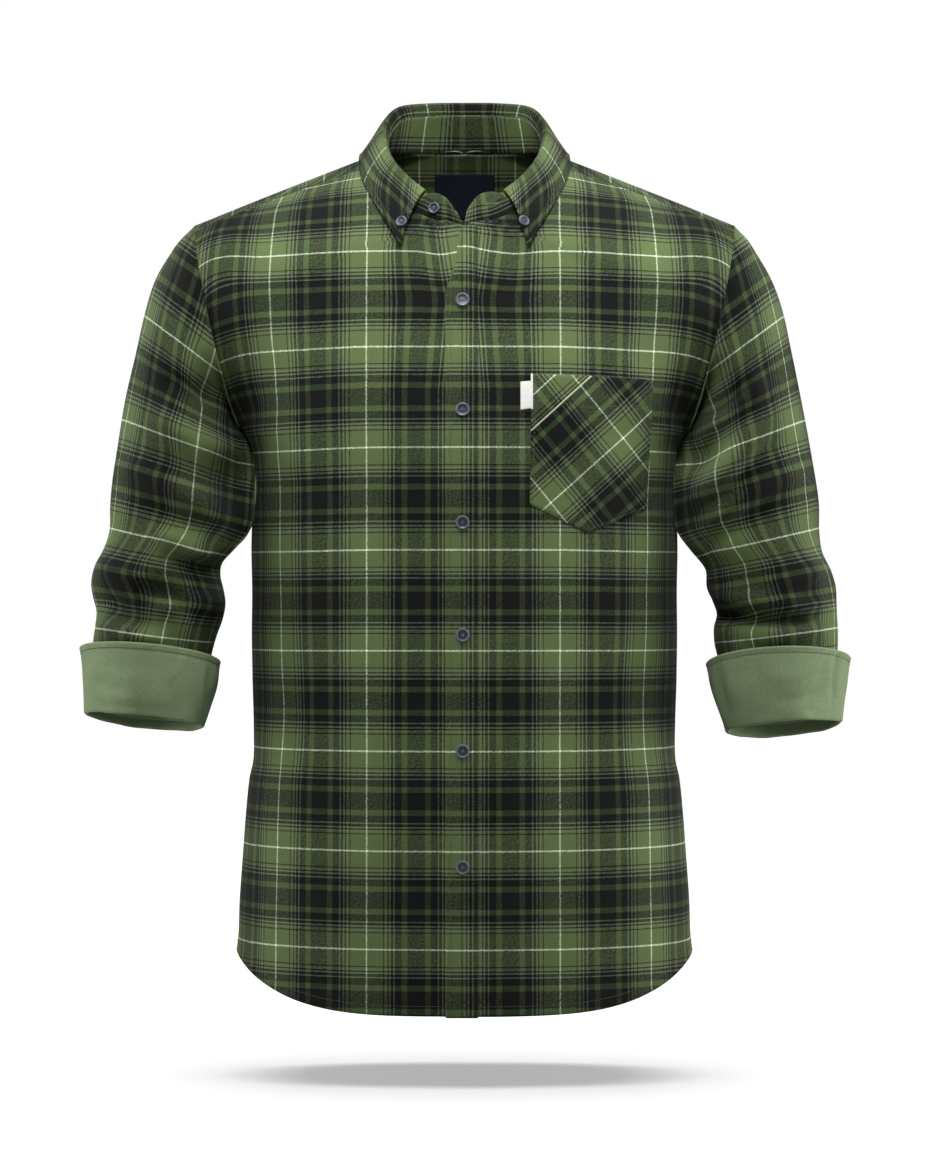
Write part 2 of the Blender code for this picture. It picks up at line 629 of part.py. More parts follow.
half_leaf = [leaf_rung(s) for s in STATIONS]
mirror = np.array([-1, 1, 1])
columns = [[p * mirror for p in rung] for rung in half_leaf[::-1]] + half_leaf[1:]
faces = leaf.grid(np.array(columns).transpose(1, 0, 2))
half_thick = COLLAR_CLOTH / 2
wall("collar_leaf", leaf, faces, leaf.normals(), CHECKED, half_thick, -half_thick)


# ----------------------------------------------------------------- pieces on the panels
def tree_of(sheet, chosen):
    return BVHTree.FromPolygons(
        [Vector(p) for p in sheet.points], [sheet.faces[f] for f in chosen]
    )


def laid(tree, xz, start=-400.0, way=1.0):
    """The point of a panel behind (or before) each (x, z) of the front view."""
    found = []
    for x, z in xz:
        hit = tree.ray_cast(Vector((x, start, z)), Vector((0, way, 0)))[0]
        found.append(np.array(hit))
    return found


def patch(name, grid, tree, slot, gap, thick, start=-400.0, way=1.0):
    """A piece laid on a panel, gap away from it."""
    sheet = Sheet()
    rows = [laid(tree, row, start, way) for row in grid]
    faces = sheet.grid(np.array(rows), turned=way > 0)
    ways = sheet.normals()
    return wall(name, sheet, faces, ways, slot, gap + thick, gap, gap=0.0)


front_tree = tree_of(body, panel["front_left"])



def column_at(rows, x):
    """Points of the left front at a constant distance from the centre line."""
    fine = np.linspace(0, 0.2, 41)
    grid = lap(body_point(-1.0, *np.broadcast_arrays(rows[:, None], fine[None, :])), 1)
    share = [np.interp(x, line[:, 0], fine) for line in grid]
    return lap(body_point(-1.0, rows, np.array(share)), 1)


rows = np.arange(centre_row, FRONT_STATIONS + 1)
sheet = Sheet()
middle = lap(body_point(-1.0, rows, np.zeros(len(rows))), 1)
free = middle.copy()
free[:, 0] = -np.interp(-middle[:, 2], -opening[:, 0], opening[:, 1])
grid = np.stack([free, middle, column_at(rows, PLACKET_FOLD)], axis=1)
faces = sheet.grid(grid, turned=True)
wall("front_placket", sheet, faces, sheet.normals(), CHECKED, RAISED_GAP + RAISED_CLOTH, RAISED_GAP)

grid = []
for t in np.linspace(0, 1, 9):
    line = []
    for s in np.linspace(0, 1, 11):
        top = np.array(POCKET_TOP[0]) * (1 - s) + np.array(POCKET_TOP[1]) * s
        low = np.array(POCKET_LOW[0]) * (1 - s) + np.array(POCKET_LOW[1]) * s
        straight = (POCKET_LOW[0][1] + POCKET_LOW[1][1]) / 2
        low[1] += (POCKET_TIP[1] - straight) * (1 - abs(2 * s - 1))
        line.append(top * (1 - t) + low * t)
    grid.append(line)
patch("chest_pocket", grid, front_tree, CHECKED, POCKET_GAP, RAISED_CLOTH)

a, b, c, d = (np.array(p) for p in TAB)
grid = [[a, b], [(a + d) / 2, (b + c) / 2], [d, c]]
patch("pocket_tab", grid, front_tree, WHITE, RAISED_GAP, 1.0)

yoke_tree = tree_of(body, panel["yoke"])
grid = [
    [(x, z) for x in np.linspace(-LABEL_HALF, LABEL_HALF, 5)]
    for z in np.linspace(LABEL_LOW, LABEL_TOP, 4)
]
sheet = Sheet()
rows = [laid(yoke_tree, row, 400.0, -1.0) for row in grid]
faces = sheet.grid(np.array(rows))
inside = CLOTH + RAISED_GAP
wall("neck_label", sheet, faces, sheet.normals(), NAVY, inside + 1.0, inside, gap=0.0)


# ------------------------------------------------------------------------------ buttons
def button(name, at, facing, diameter):
    """A turned button with a raised rim, its back face at the given point."""
    radius = diameter / 2
    profile = (
        (radius * 0.86, 0.0),
        (radius, BUTTON_T * 0.4),
        (radius * 0.93, BUTTON_T),
        (radius * 0.74, BUTTON_T * 0.95),
        (radius * 0.62, BUTTON_T * 0.62),
    )
    facing = np.asarray(facing, float) / np.linalg.norm(facing)
    side = np.cross([0, 0, 1], facing)
    side = side / np.linalg.norm(side)
    up = np.cross(facing, side)
    steps = 14
    points = []
    for r, h in profile:
        for k in range(steps):
            turn = 2 * math.pi * k / steps
            spoke = side * math.cos(turn) + up * math.sin(turn)
            points.append(np.asarray(at) + facing * h + spoke * r)
    faces = []
    for i in range(len(profile) - 1):
        for k in range(steps):
            n = (k + 1) % steps
            faces.append([i * steps + k, i * steps + n, (i + 1) * steps + n, (i + 1) * steps + k])
    faces.append([k for k in range(steps)][::-1])
    faces.append([(len(profile) - 1) * steps + k for k in range(steps)])
    return publish(name, points, faces, BUTTON)


STAND_OFF = 0.4
for number, z in enumerate(FRONT_BUTTON_Z, 1):
    place, normal, _, _ = front_tree.ray_cast(Vector((BUTTON_X, -400, z)), Vector((0, 1, 0)))
    normal = np.array(normal) * (-1 if normal[1] > 0 else 1)
    raised = RAISED_GAP + RAISED_CLOTH + STAND_OFF
    button(f"front_button_{number}", np.array(place) + normal * raised, normal, BUTTON_D)

leaf_tree = tree_of(leaf, range(len(leaf.faces)))
for name, x, z in (
    ("collar_button_right", -51.8, -55.4),
    ("collar_button_left", 48.6, -55.0),
):
    place, normal, _, _ = leaf_tree.ray_cast(Vector((x, -400, z)), Vector((0, 1, 0)))
    normal = np.array(normal) * (-1 if normal[1] > 0 else 1)
    button(name, np.array(place) + normal * (half_thick + 2 * STAND_OFF), normal, SMALL_BUTTON_D)

stand_tree = tree_of(body, panel["collar_stand"])
place, normal, _, _ = stand_tree.ray_cast(Vector((-24.8, -400, -43.4)), Vector((0, 1, 0)))
normal = np.array(normal) * (-1 if normal[1] > 0 else 1)
button("stand_button", np.array(place) + normal * 2 * STAND_OFF, normal, SMALL_BUTTON_D)
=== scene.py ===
# %% [markdown]
# # A checked twill shirt, filled out as it hangs on a body, with nobody in it
#
# The real shirt is cut from flat cloth: two fronts, a back, a yoke over the shoulders, two
# sleeves, a collar on a stand, a pocket and turned-up cuffs. Each is made here as a thin
# shell with its own thread coordinates, so that the check runs along the cloth.

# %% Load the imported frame
import math
from collections import namedtuple

import bpy
import numpy as np
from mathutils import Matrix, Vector
from mathutils.bvhtree import BVHTree


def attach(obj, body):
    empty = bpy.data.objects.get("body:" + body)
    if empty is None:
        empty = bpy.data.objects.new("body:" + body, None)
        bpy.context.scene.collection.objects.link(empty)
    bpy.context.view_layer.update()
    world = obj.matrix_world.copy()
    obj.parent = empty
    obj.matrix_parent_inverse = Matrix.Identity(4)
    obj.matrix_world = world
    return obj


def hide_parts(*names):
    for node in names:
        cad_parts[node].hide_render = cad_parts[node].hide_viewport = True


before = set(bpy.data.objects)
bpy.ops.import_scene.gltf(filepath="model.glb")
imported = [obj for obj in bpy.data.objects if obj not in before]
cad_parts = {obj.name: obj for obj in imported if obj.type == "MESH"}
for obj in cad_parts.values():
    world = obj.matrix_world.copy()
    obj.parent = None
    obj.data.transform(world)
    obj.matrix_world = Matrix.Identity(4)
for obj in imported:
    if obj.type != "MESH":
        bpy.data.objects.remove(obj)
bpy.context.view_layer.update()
scene = bpy.context.scene
MM = 0.001

# %% [markdown]
# ## Camera, light and floor
#
# The picture is taken straight from the front with a long lens, from the height of the
# waist. A camera could be placed by eye; here the height that the picture spans is known,
# so the lens is worked out from it. The light is large and soft, above and in front, so
# the upper chest is brightest and the sides fall dark. Two or three lamps would do for a
# plain look; more are used because each one shades one part of the shirt. A pale floor
# just below the hem takes a soft shadow.

# %% Camera
VIEW_DISTANCE = 4.0
VIEW_HEIGHT = -0.34935
FRAME_TALL = 0.9792  # what the picture spans from top to bottom at the shirt
SENSOR = 24.0

camera_data = bpy.data.cameras.new("camera")
camera_data.sensor_fit = "VERTICAL"
camera_data.sensor_height = SENSOR
camera_data.lens = SENSOR * VIEW_DISTANCE / FRAME_TALL
camera = bpy.data.objects.new("camera", camera_data)
camera.location = (-0.0004, -VIEW_DISTANCE, VIEW_HEIGHT)
camera.rotation_euler = (math.radians(90), 0, 0)
scene.collection.objects.link(camera)
scene.camera = camera
scene.view_settings.view_transform = "Standard"
print("lens", round(camera_data.lens, 2))


# %% Lights
def area_light(name, place, target, size, power, spread=180):
    data = bpy.data.lights.new(name, "AREA")
    data.shape = "RECTANGLE"
    data.size, data.size_y = size
    data.energy = power
    data.spread = math.radians(spread)
    obj = bpy.data.objects.new(name, data)
    obj.location = place
    obj.rotation_euler = (Vector(target) - Vector(place)).to_track_quat("-Z", "Y").to_euler()
    scene.collection.objects.link(obj)
    return obj


area_light("key", (0.0, -1.0, 0.62), (0, -0.05, -0.10), (0.5, 0.3), 0.8, 50)
area_light("chest", (0.0, -0.75, 1.1), (0, -0.08, -0.15), (0.5, 0.3), 0.9, 45)
area_light("body", (0.0, -1.25, 0.45), (0, -0.1, -0.42), (0.38, 0.66), 0.27, 5)
area_light("top", (0.0, -0.3, 1.3), (0, -0.05, -0.2), (1.4, 0.6), 19.0)
area_light("left", (-1.9, -0.35, -0.3), (0, 0, -0.38), (0.5, 1.5), 8.0)
area_light("right", (1.9, -0.35, -0.3), (0, 0, -0.38), (0.5, 1.5), 20.0)
area_light("left_side", (-1.9, 0.05, -0.2), (0, 0, -0.38), (0.5, 1.5), 23)
area_light("right_side", (1.9, 0.05, -0.2), (0, 0, -0.38), (0.5, 1.5), 21)

# %% Studio: dark all round, but plain white where the camera sees it
STUDIO_GLOW = 0.015

world = bpy.data.worlds.new("studio")
scene.world = world
world.use_nodes = True
nodes, links = world.node_tree.nodes, world.node_tree.links
paths = nodes.new("ShaderNodeLightPath")
sky = nodes.new("ShaderNodeMix")
sky.data_type = "RGBA"
sky.inputs["A"].default_value = (STUDIO_GLOW, STUDIO_GLOW, STUDIO_GLOW, 1)
sky.inputs["B"].default_value = (1, 1, 1, 1)
links.new(paths.outputs["Is Camera Ray"], sky.inputs["Factor"])
links.new(sky.outputs["Result"], nodes["Background"].inputs["Color"])
print("studio light", STUDIO_GLOW)

# %% Floor, with a light of its own
FLOOR = -0.7735

floor_mesh = bpy.data.meshes.new("floor")
floor_mesh.from_pydata(
    [(-9, -6, FLOOR), (9, -6, FLOOR), (9, 14, FLOOR), (-9, 14, FLOOR)], [], [(0, 1, 2, 3)]
)
floor = bpy.data.objects.new("floor", floor_mesh)
scene.collection.objects.link(floor)

# light linking: the lamps above leave the floor out, and a wide ceiling lights it alone
for name, state in (("off_the_floor", "EXCLUDE"), ("on_the_floor", "INCLUDE")):
    lit = bpy.data.collections.new(name)
    lit.objects.link(floor)
    lit.collection_objects[0].light_linking.link_state = state
for lamp in [obj for obj in scene.objects if obj.type == "LIGHT"]:
    lamp.light_linking.receiver_collection = bpy.data.collections["off_the_floor"]
ceiling = area_light("ceiling", (0, 0, 1.6), (0, 0, 0), (3.0, 3.0), 108)
ceiling.light_linking.receiver_collection = bpy.data.collections["on_the_floor"]
print("floor at", FLOOR, "m")

# %% [markdown]
# ## Short words for node trees
#
# Materials and node tools are trees of small boxes joined by wires. They could be written
# out box by box. A helper class with words such as math, mix and noise is chosen, because
# the recipes then stay short enough to read. Node groups get named inputs and outputs, so
# that one group can serve in several materials.

# %% Node groups and wires
def new_group(name, inputs, outputs):
    tree = bpy.data.node_groups.new(name, "ShaderNodeTree")
    for label, kind, default in inputs:
        socket = tree.interface.new_socket(label, in_out="INPUT", socket_type=kind)
        if default is not None:
            socket.default_value = default
    for label, kind in outputs:
        tree.interface.new_socket(label, in_out="OUTPUT", socket_type=kind)
    start = tree.nodes.new("NodeGroupInput")
    end = tree.nodes.new("NodeGroupOutput")
    return tree, start, end


class Wires:
    """Short words for adding nodes to a tree."""

    def __init__(self, tree):
        self.tree = tree

    def node(self, kind, **settings):
        made = self.tree.nodes.new(kind)
        for key, value in settings.items():
            setattr(made, key, value)
        return made

    def link(self, a, b):
        self.tree.links.new(a, b)

    def put(self, socket, value):
        if hasattr(value, "is_linked"):
            self.link(value, socket)
        else:
            socket.default_value = value

    def math(self, operation, a, b=None, c=None, clamp=False):
        made = self.node("ShaderNodeMath", operation=operation, use_clamp=clamp)
        for socket, value in zip(made.inputs, (a, b, c)):
            if value is not None:
                self.put(socket, value)
        return made.outputs[0]

    def mix(self, factor, a, b):
        made = self.node("ShaderNodeMix", data_type="RGBA")
        self.put(made.inputs["Factor"], factor)
        self.put(made.inputs["A"], a)
        self.put(made.inputs["B"], b)
        return made.outputs["Result"]

    def noise(self, vector, scale, detail=2.0, rough=0.5):
        made = self.node("ShaderNodeTexNoise")
        self.put(made.inputs["Vector"], vector)
        self.put(made.inputs["Scale"], scale)
        made.inputs["Detail"].default_value = detail
        made.inputs["Roughness"].default_value = rough
        return made.outputs["Fac"]

    def vector(self, x, y, z=0.0):
        made = self.node("ShaderNodeCombineXYZ")
        for socket, value in zip(made.inputs, (x, y, z)):
            self.put(socket, value)
        return made.outputs[0]

    def range(self, value, low, high, to_low=0.0, to_high=1.0):
        made = self.node("ShaderNodeMapRange")
        for key, number in (
            ("From Min", low),
            ("From Max", high),
            ("To Min", to_low),
            ("To Max", to_high),
        ):
            made.inputs[key].default_value = number
        self.put(made.inputs["Value"], value)
        return made.outputs["Result"]


# %% Floor paint
SHADOW_REACH = (0.55, 1.1)  # the floor turns to plain white between these distances
WHITE_GLOW = 1.03


def plain_material(name, colour, roughness=0.85):
    made = bpy.data.materials.new(name)
    made.use_nodes = True
    shader = made.node_tree.nodes["Principled BSDF"]
    shader.inputs["Base Color"].default_value = (*colour, 1)
    shader.inputs["Roughness"].default_value = roughness
    return made, shader


pale, shader = plain_material("pale_floor", (0.9, 0.9, 0.9), 1.0)
shader.inputs["Specular IOR Level"].default_value = 0.0
shader.inputs["Emission Color"].default_value = (1, 1, 1, 1)
w = Wires(pale.node_tree)
spot = w.node("ShaderNodeTexCoord").outputs["Object"]
reach = w.node("ShaderNodeVectorMath", operation="LENGTH")
w.link(spot, reach.inputs[0])
far = w.range(reach.outputs["Value"], *SHADOW_REACH)
seen_by = w.node("ShaderNodeLightPath").outputs["Is Camera Ray"]
glow = w.math("MULTIPLY", seen_by, w.math("MULTIPLY", far, WHITE_GLOW))
w.link(glow, shader.inputs["Emission Strength"])
# only the picture sees the floor this pale; it throws little light up into the cuffs
paint = w.mix(far, (0.85, 0.85, 0.85, 1), (0.3, 0.3, 0.3, 1))
w.link(w.mix(seen_by, (0.4, 0.4, 0.4, 1), paint), shader.inputs["Base Color"])
floor_mesh.materials.append(pale)
print(pale.name, "turns white at", SHADOW_REACH)

# %% [markdown]
# ## Twill weave
#
# Twill is woven over two threads and under two, each row stepped by one, which gives fine
# diagonal ribs. Single threads could be modelled, but a shirt has thousands of metres of
# them. From where the picture is taken the eye sees only ribs and the uneven specks of
# the brushed face, so the weave is a node group. At each place of the cloth it says how
# much of the warp lies on top, how high the surface is, and how it wears and frays.

# %% Weave: which thread lies on top
RIB = 0.0013  # from one diagonal rib to the next
SPECK = 0.0015  # size of the uneven specks of the brushed face
SPECK_LONG = 2.2  # specks are this much longer across the ribs
WAVER = 0.004  # the ribs wander over this length
WORN_PATCH = 0.03
FRAY_SIZE = 0.0007

weave, start, end = new_group(
    "twill_weave",
    [
        ("Warp", "NodeSocketFloat", 0.0),
        ("Weft", "NodeSocketFloat", 0.0),
        ("Rib", "NodeSocketFloat", RIB),
        ("Speck", "NodeSocketFloat", SPECK),
    ],
    [(label, "NodeSocketFloat") for label in ("On Top", "Height", "Fuzz", "Fray")],
)
w = Wires(weave)
u, v, rib, speck = (start.outputs[k] for k in ("Warp", "Weft", "Rib", "Speck"))
diagonal = w.math("ADD", u, v)
other = w.math("SUBTRACT", u, v)
long_way = w.math("DIVIDE", diagonal, speck)
short_way = w.math("DIVIDE", other, w.math("MULTIPLY", speck, SPECK_LONG))
grain = w.noise(w.vector(long_way, short_way), 1.0, 2.0, 0.65)
waver = w.noise(w.vector(w.math("DIVIDE", u, WAVER), w.math("DIVIDE", v, WAVER)), 1.0)
even = w.math("DIVIDE", w.math("MULTIPLY", diagonal, math.tau), rib)
turn = w.math("MULTIPLY_ADD", waver, 5.0, even)
ribs = w.math("SINE", turn)
top = w.math("MULTIPLY_ADD", ribs, 0.05, w.range(grain, 0.28, 0.72, 0.16, 0.74))
w.link(w.math("MAXIMUM", w.math("MINIMUM", top, 1.0), 0.0), end.inputs["On Top"])
w.link(w.math("MULTIPLY_ADD", ribs, 0.5, grain), end.inputs["Height"])
patch = w.vector(w.math("DIVIDE", u, WORN_PATCH), w.math("DIVIDE", v, WORN_PATCH))
fuzz = w.noise(patch, 1.0, 3.0)
w.link(fuzz, end.inputs["Fuzz"])
hairs = w.vector(w.math("DIVIDE", u, FRAY_SIZE), w.math("DIVIDE", v, FRAY_SIZE))
fray = w.noise(hairs, 1.0, 1.0)
w.link(fray, end.inputs["Fray"])
print(weave.name, "has a rib every", RIB * 1000, "mm")

# %% [markdown]
# ## The check
#
# It could be painted as stripes over stripes. Two colour ramps mixed by the weave are
# chosen, because every crossing then gets its right shade by itself. A ramp starts on a
# white line, ends in the middle of the black, and is mirrored.

# %% The sett: colours of the threads, from a white line to the middle of the black
REPEAT = 0.083
HALF = 50.4  # the ramp's units from a white line to the middle of the black
Stripe = namedtuple("Stripe", "start yarn")
YARNS = {  # as the eye sees them, 0 to 255, at the middle of the body
    "white": (242, 249, 231),
    "green": (86, 100, 64),
    "deep": (60, 73, 46),
    "pale": (100, 109, 87),
    "black": (19, 19, 19),
}
SETT = (
    Stripe(0.0, "white"),
    Stripe(0.76, "green"),
    Stripe(16.6, "black"),
    Stripe(17.9, "green"),
    Stripe(19.4, "pale"),
    Stripe(21.2, "black"),
    Stripe(22.7, "pale"),
    Stripe(24.5, "black"),
    Stripe(27.3, "pale"),
    Stripe(28.6, "black"),
    Stripe(35.8, "deep"),
    Stripe(41.4, "black"),
)
EYE = 2.2  # the eye's response: threads seem to mix evenly in these numbers
print("sett, mm", [(s.yarn, round(s.start / HALF * REPEAT * 500, 2)) for s in SETT])

# %% The check, mixed from warp and weft
FRAY = 0.0016  # the edge of a stripe wanders this far

check, start, end = new_group(
    "check",
    [("Warp", "NodeSocketFloat", 0.0), ("Weft", "NodeSocketFloat", 0.0)],
    [("Color", "NodeSocketColor"), ("Height", "NodeSocketFloat"), ("Fuzz", "NodeSocketFloat")],
)
w = Wires(check)
threads = []
woven = w.node("ShaderNodeGroup", node_tree=weave)
w.link(start.outputs["Warp"], woven.inputs["Warp"])
w.link(start.outputs["Weft"], woven.inputs["Weft"])
for label in ("Warp", "Weft"):
    frayed = w.math("MULTIPLY_ADD", woven.outputs["Fray"], FRAY, start.outputs[label])
    along = w.math("DIVIDE", w.math("SUBTRACT", frayed, FRAY / 2), REPEAT)
    place = w.math("MULTIPLY", w.math("PINGPONG", along, 0.5), 2.0)
    ramp = w.node("ShaderNodeValToRGB")
    ramp.color_ramp.interpolation = "CONSTANT"
    stops = ramp.color_ramp.elements
    while len(stops) < len(SETT):
        stops.new(0.5)
    for stop, stripe in zip(stops, SETT):
        stop.position = stripe.start / HALF
    for stop, stripe in zip(stops, SETT):
        stop.color = (*(value / 255 for value in YARNS[stripe.yarn]), 1)
    w.link(place, ramp.inputs["Fac"])
    threads.append(ramp.outputs["Color"])
seen = w.node("ShaderNodeGamma")
seen.inputs["Gamma"].default_value = EYE
w.link(w.mix(woven.outputs["On Top"], threads[1], threads[0]), seen.inputs["Color"])
w.link(seen.outputs["Color"], end.inputs["Color"])
w.link(woven.outputs["Height"], end.inputs["Height"])
w.link(woven.outputs["Fuzz"], end.inputs["Fuzz"])
print(check.name, "mixes", len(threads), "ramps of", len(SETT), "stripes")

# %% [markdown]
# ## Finishes of the cloth
#
# Brushed cotton is rough and hardly shines, with a soft sheen where it turns away. The
# check shows on the face; the back of the cloth, which the turned-up cuffs show, is plain
# sage. A pattern could be thrown on from the front, but it would smear at the sides. Each
# finish reads the piece's own thread coordinates instead, so it bends with the cloth.


# %% Cloth materials
def thread_coordinates(w):
    """The piece's own thread coordinates, in metres: warp position and weft position."""
    chart = w.node("ShaderNodeUVMap", uv_map="threads")
    split = w.node("ShaderNodeSeparateXYZ")
    w.link(chart.outputs["UV"], split.inputs[0])
    return split.outputs["X"], split.outputs["Y"]


def cloth_material(name, colours, bump, sheen):
    """Brushed cotton: rough, with a soft sheen and the weave's own relief."""
    made, shader = plain_material(name, (0.1, 0.1, 0.1), 0.92)
    shader.inputs["Specular IOR Level"].default_value = 0.12
    shader.inputs["Sheen Weight"].default_value = sheen
    shader.inputs["Sheen Roughness"].default_value = 0.55
    shader.inputs["Sheen Tint"].default_value = (0.85, 0.95, 0.8, 1)
    w = Wires(made.node_tree)
    u, v = thread_coordinates(w)
    colour, height = colours(w, u, v)
    w.link(colour, shader.inputs["Base Color"])
    relief = w.node("ShaderNodeBump")
    relief.inputs["Strength"].default_value = bump
    relief.inputs["Distance"].default_value = 0.0004
    w.link(height, relief.inputs["Height"])
    w.link(relief.outputs["Normal"], shader.inputs["Normal"])
    return made


# %% Checked face, plain reverse and woven tapes
PLAIN_SPECK = 0.0021


def checked(w, u, v):
    """The check, a little uneven from one patch to the next."""
    both = w.node("ShaderNodeGroup", node_tree=check)
    w.link(u, both.inputs["Warp"])
    w.link(v, both.inputs["Weft"])
    worn = w.range(both.outputs["Fuzz"], 0.3, 0.7, 0.95, 1.05)
    scaled = w.node("ShaderNodeMix", data_type="RGBA", blend_type="MULTIPLY")
    scaled.inputs["Factor"].default_value = 1.0
    w.link(both.outputs["Color"], scaled.inputs["A"])
    w.link(w.vector(worn, worn, worn), scaled.inputs["B"])
    return scaled.outputs["Result"], both.outputs["Height"]


def plain_reverse(light, dark):
    """One yarn colour, lighter where the warp lies on top and in soft patches."""

    def colours(w, u, v):
        only = w.node("ShaderNodeGroup", node_tree=weave)
        w.link(u, only.inputs["Warp"])
        w.link(v, only.inputs["Weft"])
        only.inputs["Speck"].default_value = PLAIN_SPECK
        soft = w.range(only.outputs["Fuzz"], 0.25, 0.75)
        patches = w.math("MULTIPLY", soft, 0.35)
        blend = w.math("MULTIPLY_ADD", only.outputs["On Top"], 0.75, patches)
        return w.mix(blend, (*dark, 1), (*light, 1)), only.outputs["Height"]

    return colours


CHECKED = cloth_material("checked_twill", checked, 0.35, 0.05)
REVERSE = cloth_material(
    "twill_reverse", plain_reverse((0.285, 0.368, 0.205), (0.150, 0.202, 0.104)), 0.7, 0.06
)


BRIGHT_LINE = 0.0605  # the pocket's cloth has one more white thread here


def with_bright_line(w, u, v):
    colour, height = checked(w, u, v)
    beside = w.math("ABSOLUTE", w.math("SUBTRACT", v, BRIGHT_LINE))
    line = w.math("MULTIPLY", w.range(beside, 0.0007, 0.0005), 0.8)
    return w.mix(line, colour, (0.52, 0.53, 0.36, 1)), height


POCKET_TWILL = cloth_material("pocket_twill", with_bright_line, 0.35, 0.05)
NAVY = cloth_material(
    "navy_tape", plain_reverse((0.010, 0.013, 0.027), (0.005, 0.007, 0.014)), 0.3, 0.05
)
WHITE = cloth_material(
    "white_tape", plain_reverse((0.70, 0.70, 0.66), (0.55, 0.55, 0.51)), 0.3, 0.05
)
print("finishes", [m.name for m in (CHECKED, REVERSE, POCKET_TWILL, NAVY, WHITE)])

# %% [markdown]
# ## The form of the body
#
# Lengths are in millimetres, on the wearer's left half; the other half is its mirror. A
# cloth simulation could drape the form, but it would stray from the solids and from one
# run to the next. Tables are chosen. Each row is one section of the body and tells where
# its curve starts, how it turns and how far it is pulled, and smooth curves run through
# the rows.

# %% Tables of the body
ARMHOLE_TOP = (228.5, 5.0, -51.0)
ARMHOLE_BOTTOM = (188.5, 5.0, -228.0)
ARMHOLE_DEPTH = 60.0
ARMHOLE_BOW = 4.5
LAP = 2.7  # the left front lies this far in front of the right one
PLACKET_EDGE = 15.5
NECK_ROWS = 6

# a level of the trunk: heights, half width, depths and how square it is
Level = namedtuple("Level", "side_z mid_z wide front back square")
LEVELS = (
    Level(-228, -228, 188.5, 117.0, 103.0, 0.70),
    Level(-243, -246, 181.6, 117.0, 102.0, 0.70),
    Level(-264, -266, 180.2, 116.5, 101.0, 0.69),
    Level(-292, -294, 180.4, 115.5, 99.5, 0.68),
    Level(-326, -326, 181.2, 114.0, 98.0, 0.68),
    Level(-362, -362, 180.6, 112.5, 97.0, 0.68),
    Level(-400, -400, 180.9, 111.0, 96.5, 0.68),
    Level(-440, -440, 180.2, 110.5, 97.5, 0.68),
    Level(-474, -474, 179.2, 110.5, 99.5, 0.68),
    Level(-503, -503, 179.3, 110.8, 102.0, 0.68),
    Level(-522, -526, 183.0, 111.2, 104.5, 0.68),
    Level(-552, -558, 186.0, 111.8, 107.5, 0.68),
    Level(-590, -600, 188.8, 112.5, 110.0, 0.68),
    Level(-624, -640, 191.2, 113.0, 111.5, 0.68),
    Level(-650, -683, 192.1, 113.3, 112.0, 0.68),
    Level(-666, -713, 193.6, 113.6, 112.0, 0.68),
)
TAIL_POWER = 4.0
TAIL_SOFT = 0.85
BACK_TAIL = 8.0

# %% Tables of the shoulders: rows from the neck's edge out to the armhole
# edge: degrees round the armhole; n: at the neck; e: at the armhole
Row = namedtuple("Row", "edge nx ny nz n_turn n_pull n_drop e_turn e_pull e_drop")
FRONT_ROWS = (
    Row(20, 74.5, -27.0, -2.0, -3, 52, 0.30, 0, 52, 0.38),
    Row(36, 71.5, -45.0, -13.0, 3, 54, 0.30, 9, 56, 0.40),
    Row(52, 63.0, -61.0, -27.0, 6, 56, 0.30, 17, 58, 0.42),
    Row(68, 48.5, -74.0, -40.5, 8, 58, 0.30, 25, 62, 0.42),
    Row(84, 27.0, -83.5, -52.0, 7, 66, 0.28, 32, 64, 0.42),
    Row(100, 0.0, -88.0, -58.5, 3, 76, 0.22, 39, 66, 0.42),
    Row(116, 0.0, -97.0, -92.0, 0, 92, 0.20, 47, 70, 0.42),
    Row(132, 0.0, -104.0, -130.0, 0, 108, 0.16, 56, 74, 0.40),
    Row(148, 0.0, -110.5, -168.0, 0, 122, 0.12, 67, 79, 0.38),
    Row(164, 0.0, -115.0, -203.0, 0, 130, 0.08, 79, 82, 0.34),
)
BACK_ROWS = (
    Row(20, 74.5, -27.0, -2.0, -3, 52, 0.30, 0, 52, 0.38),
    Row(0, 75.0, -2.0, 8.5, 0, 52, 0.34, 0, 52, 0.36),
    Row(-13, 70.0, 18.0, 11.5, 3, 54, 0.30, 3, 54, 0.38),
    Row(-25, 57.0, 38.0, 13.5, 6, 58, 0.28, 7, 58, 0.40),
    Row(-33, 32.0, 52.0, 14.3, 9, 66, 0.30, 12, 64, 0.40),
    Row(-41, 0.0, 57.0, 14.5, 9, 76, 0.34, 17, 70, 0.38),
    Row(-48, 0.0, 77.0, -29.0, 2, 80, 0.30, 21, 70, 0.36),
    Row(-55, 0.0, 91.0, -78.0, 0, 84, 0.20, 25, 62, 0.40),
    Row(-70, 0.0, 97.5, -104.0, 0, 90, 0.20, 31, 57, 0.40),
    Row(-86, 0.0, 101.0, -130.0, 0, 96, 0.18, 37, 54, 0.40),
    Row(-102, 0.0, 103.5, -155.0, 0, 104, 0.16, 44, 52, 0.40),
    Row(-118, 0.0, 104.5, -178.0, 0, 112, 0.14, 52, 50, 0.40),
    Row(-134, 0.0, 104.5, -198.0, 0, 120, 0.12, 61, 50, 0.38),
    Row(-150, 0.0, 104.0, -213.0, 0, 126, 0.10, 71, 51, 0.36),
    Row(-165, 0.0, 103.5, -223.0, 0, 130, 0.06, 81, 59, 0.34),
)
YOKE_ROWS = 8
Edge = namedtuple("Edge", "z past")
OPENING = (
    Edge(-58, 2.6),
    Edge(-74, 5.6),
    Edge(-92, 7.0),
    Edge(-104, 12.0),
    Edge(-114, PLACKET_EDGE),
    Edge(-800, PLACKET_EDGE),
)
print(len(LEVELS), "levels,", len(FRONT_ROWS), "rows in front,", len(BACK_ROWS), "behind")


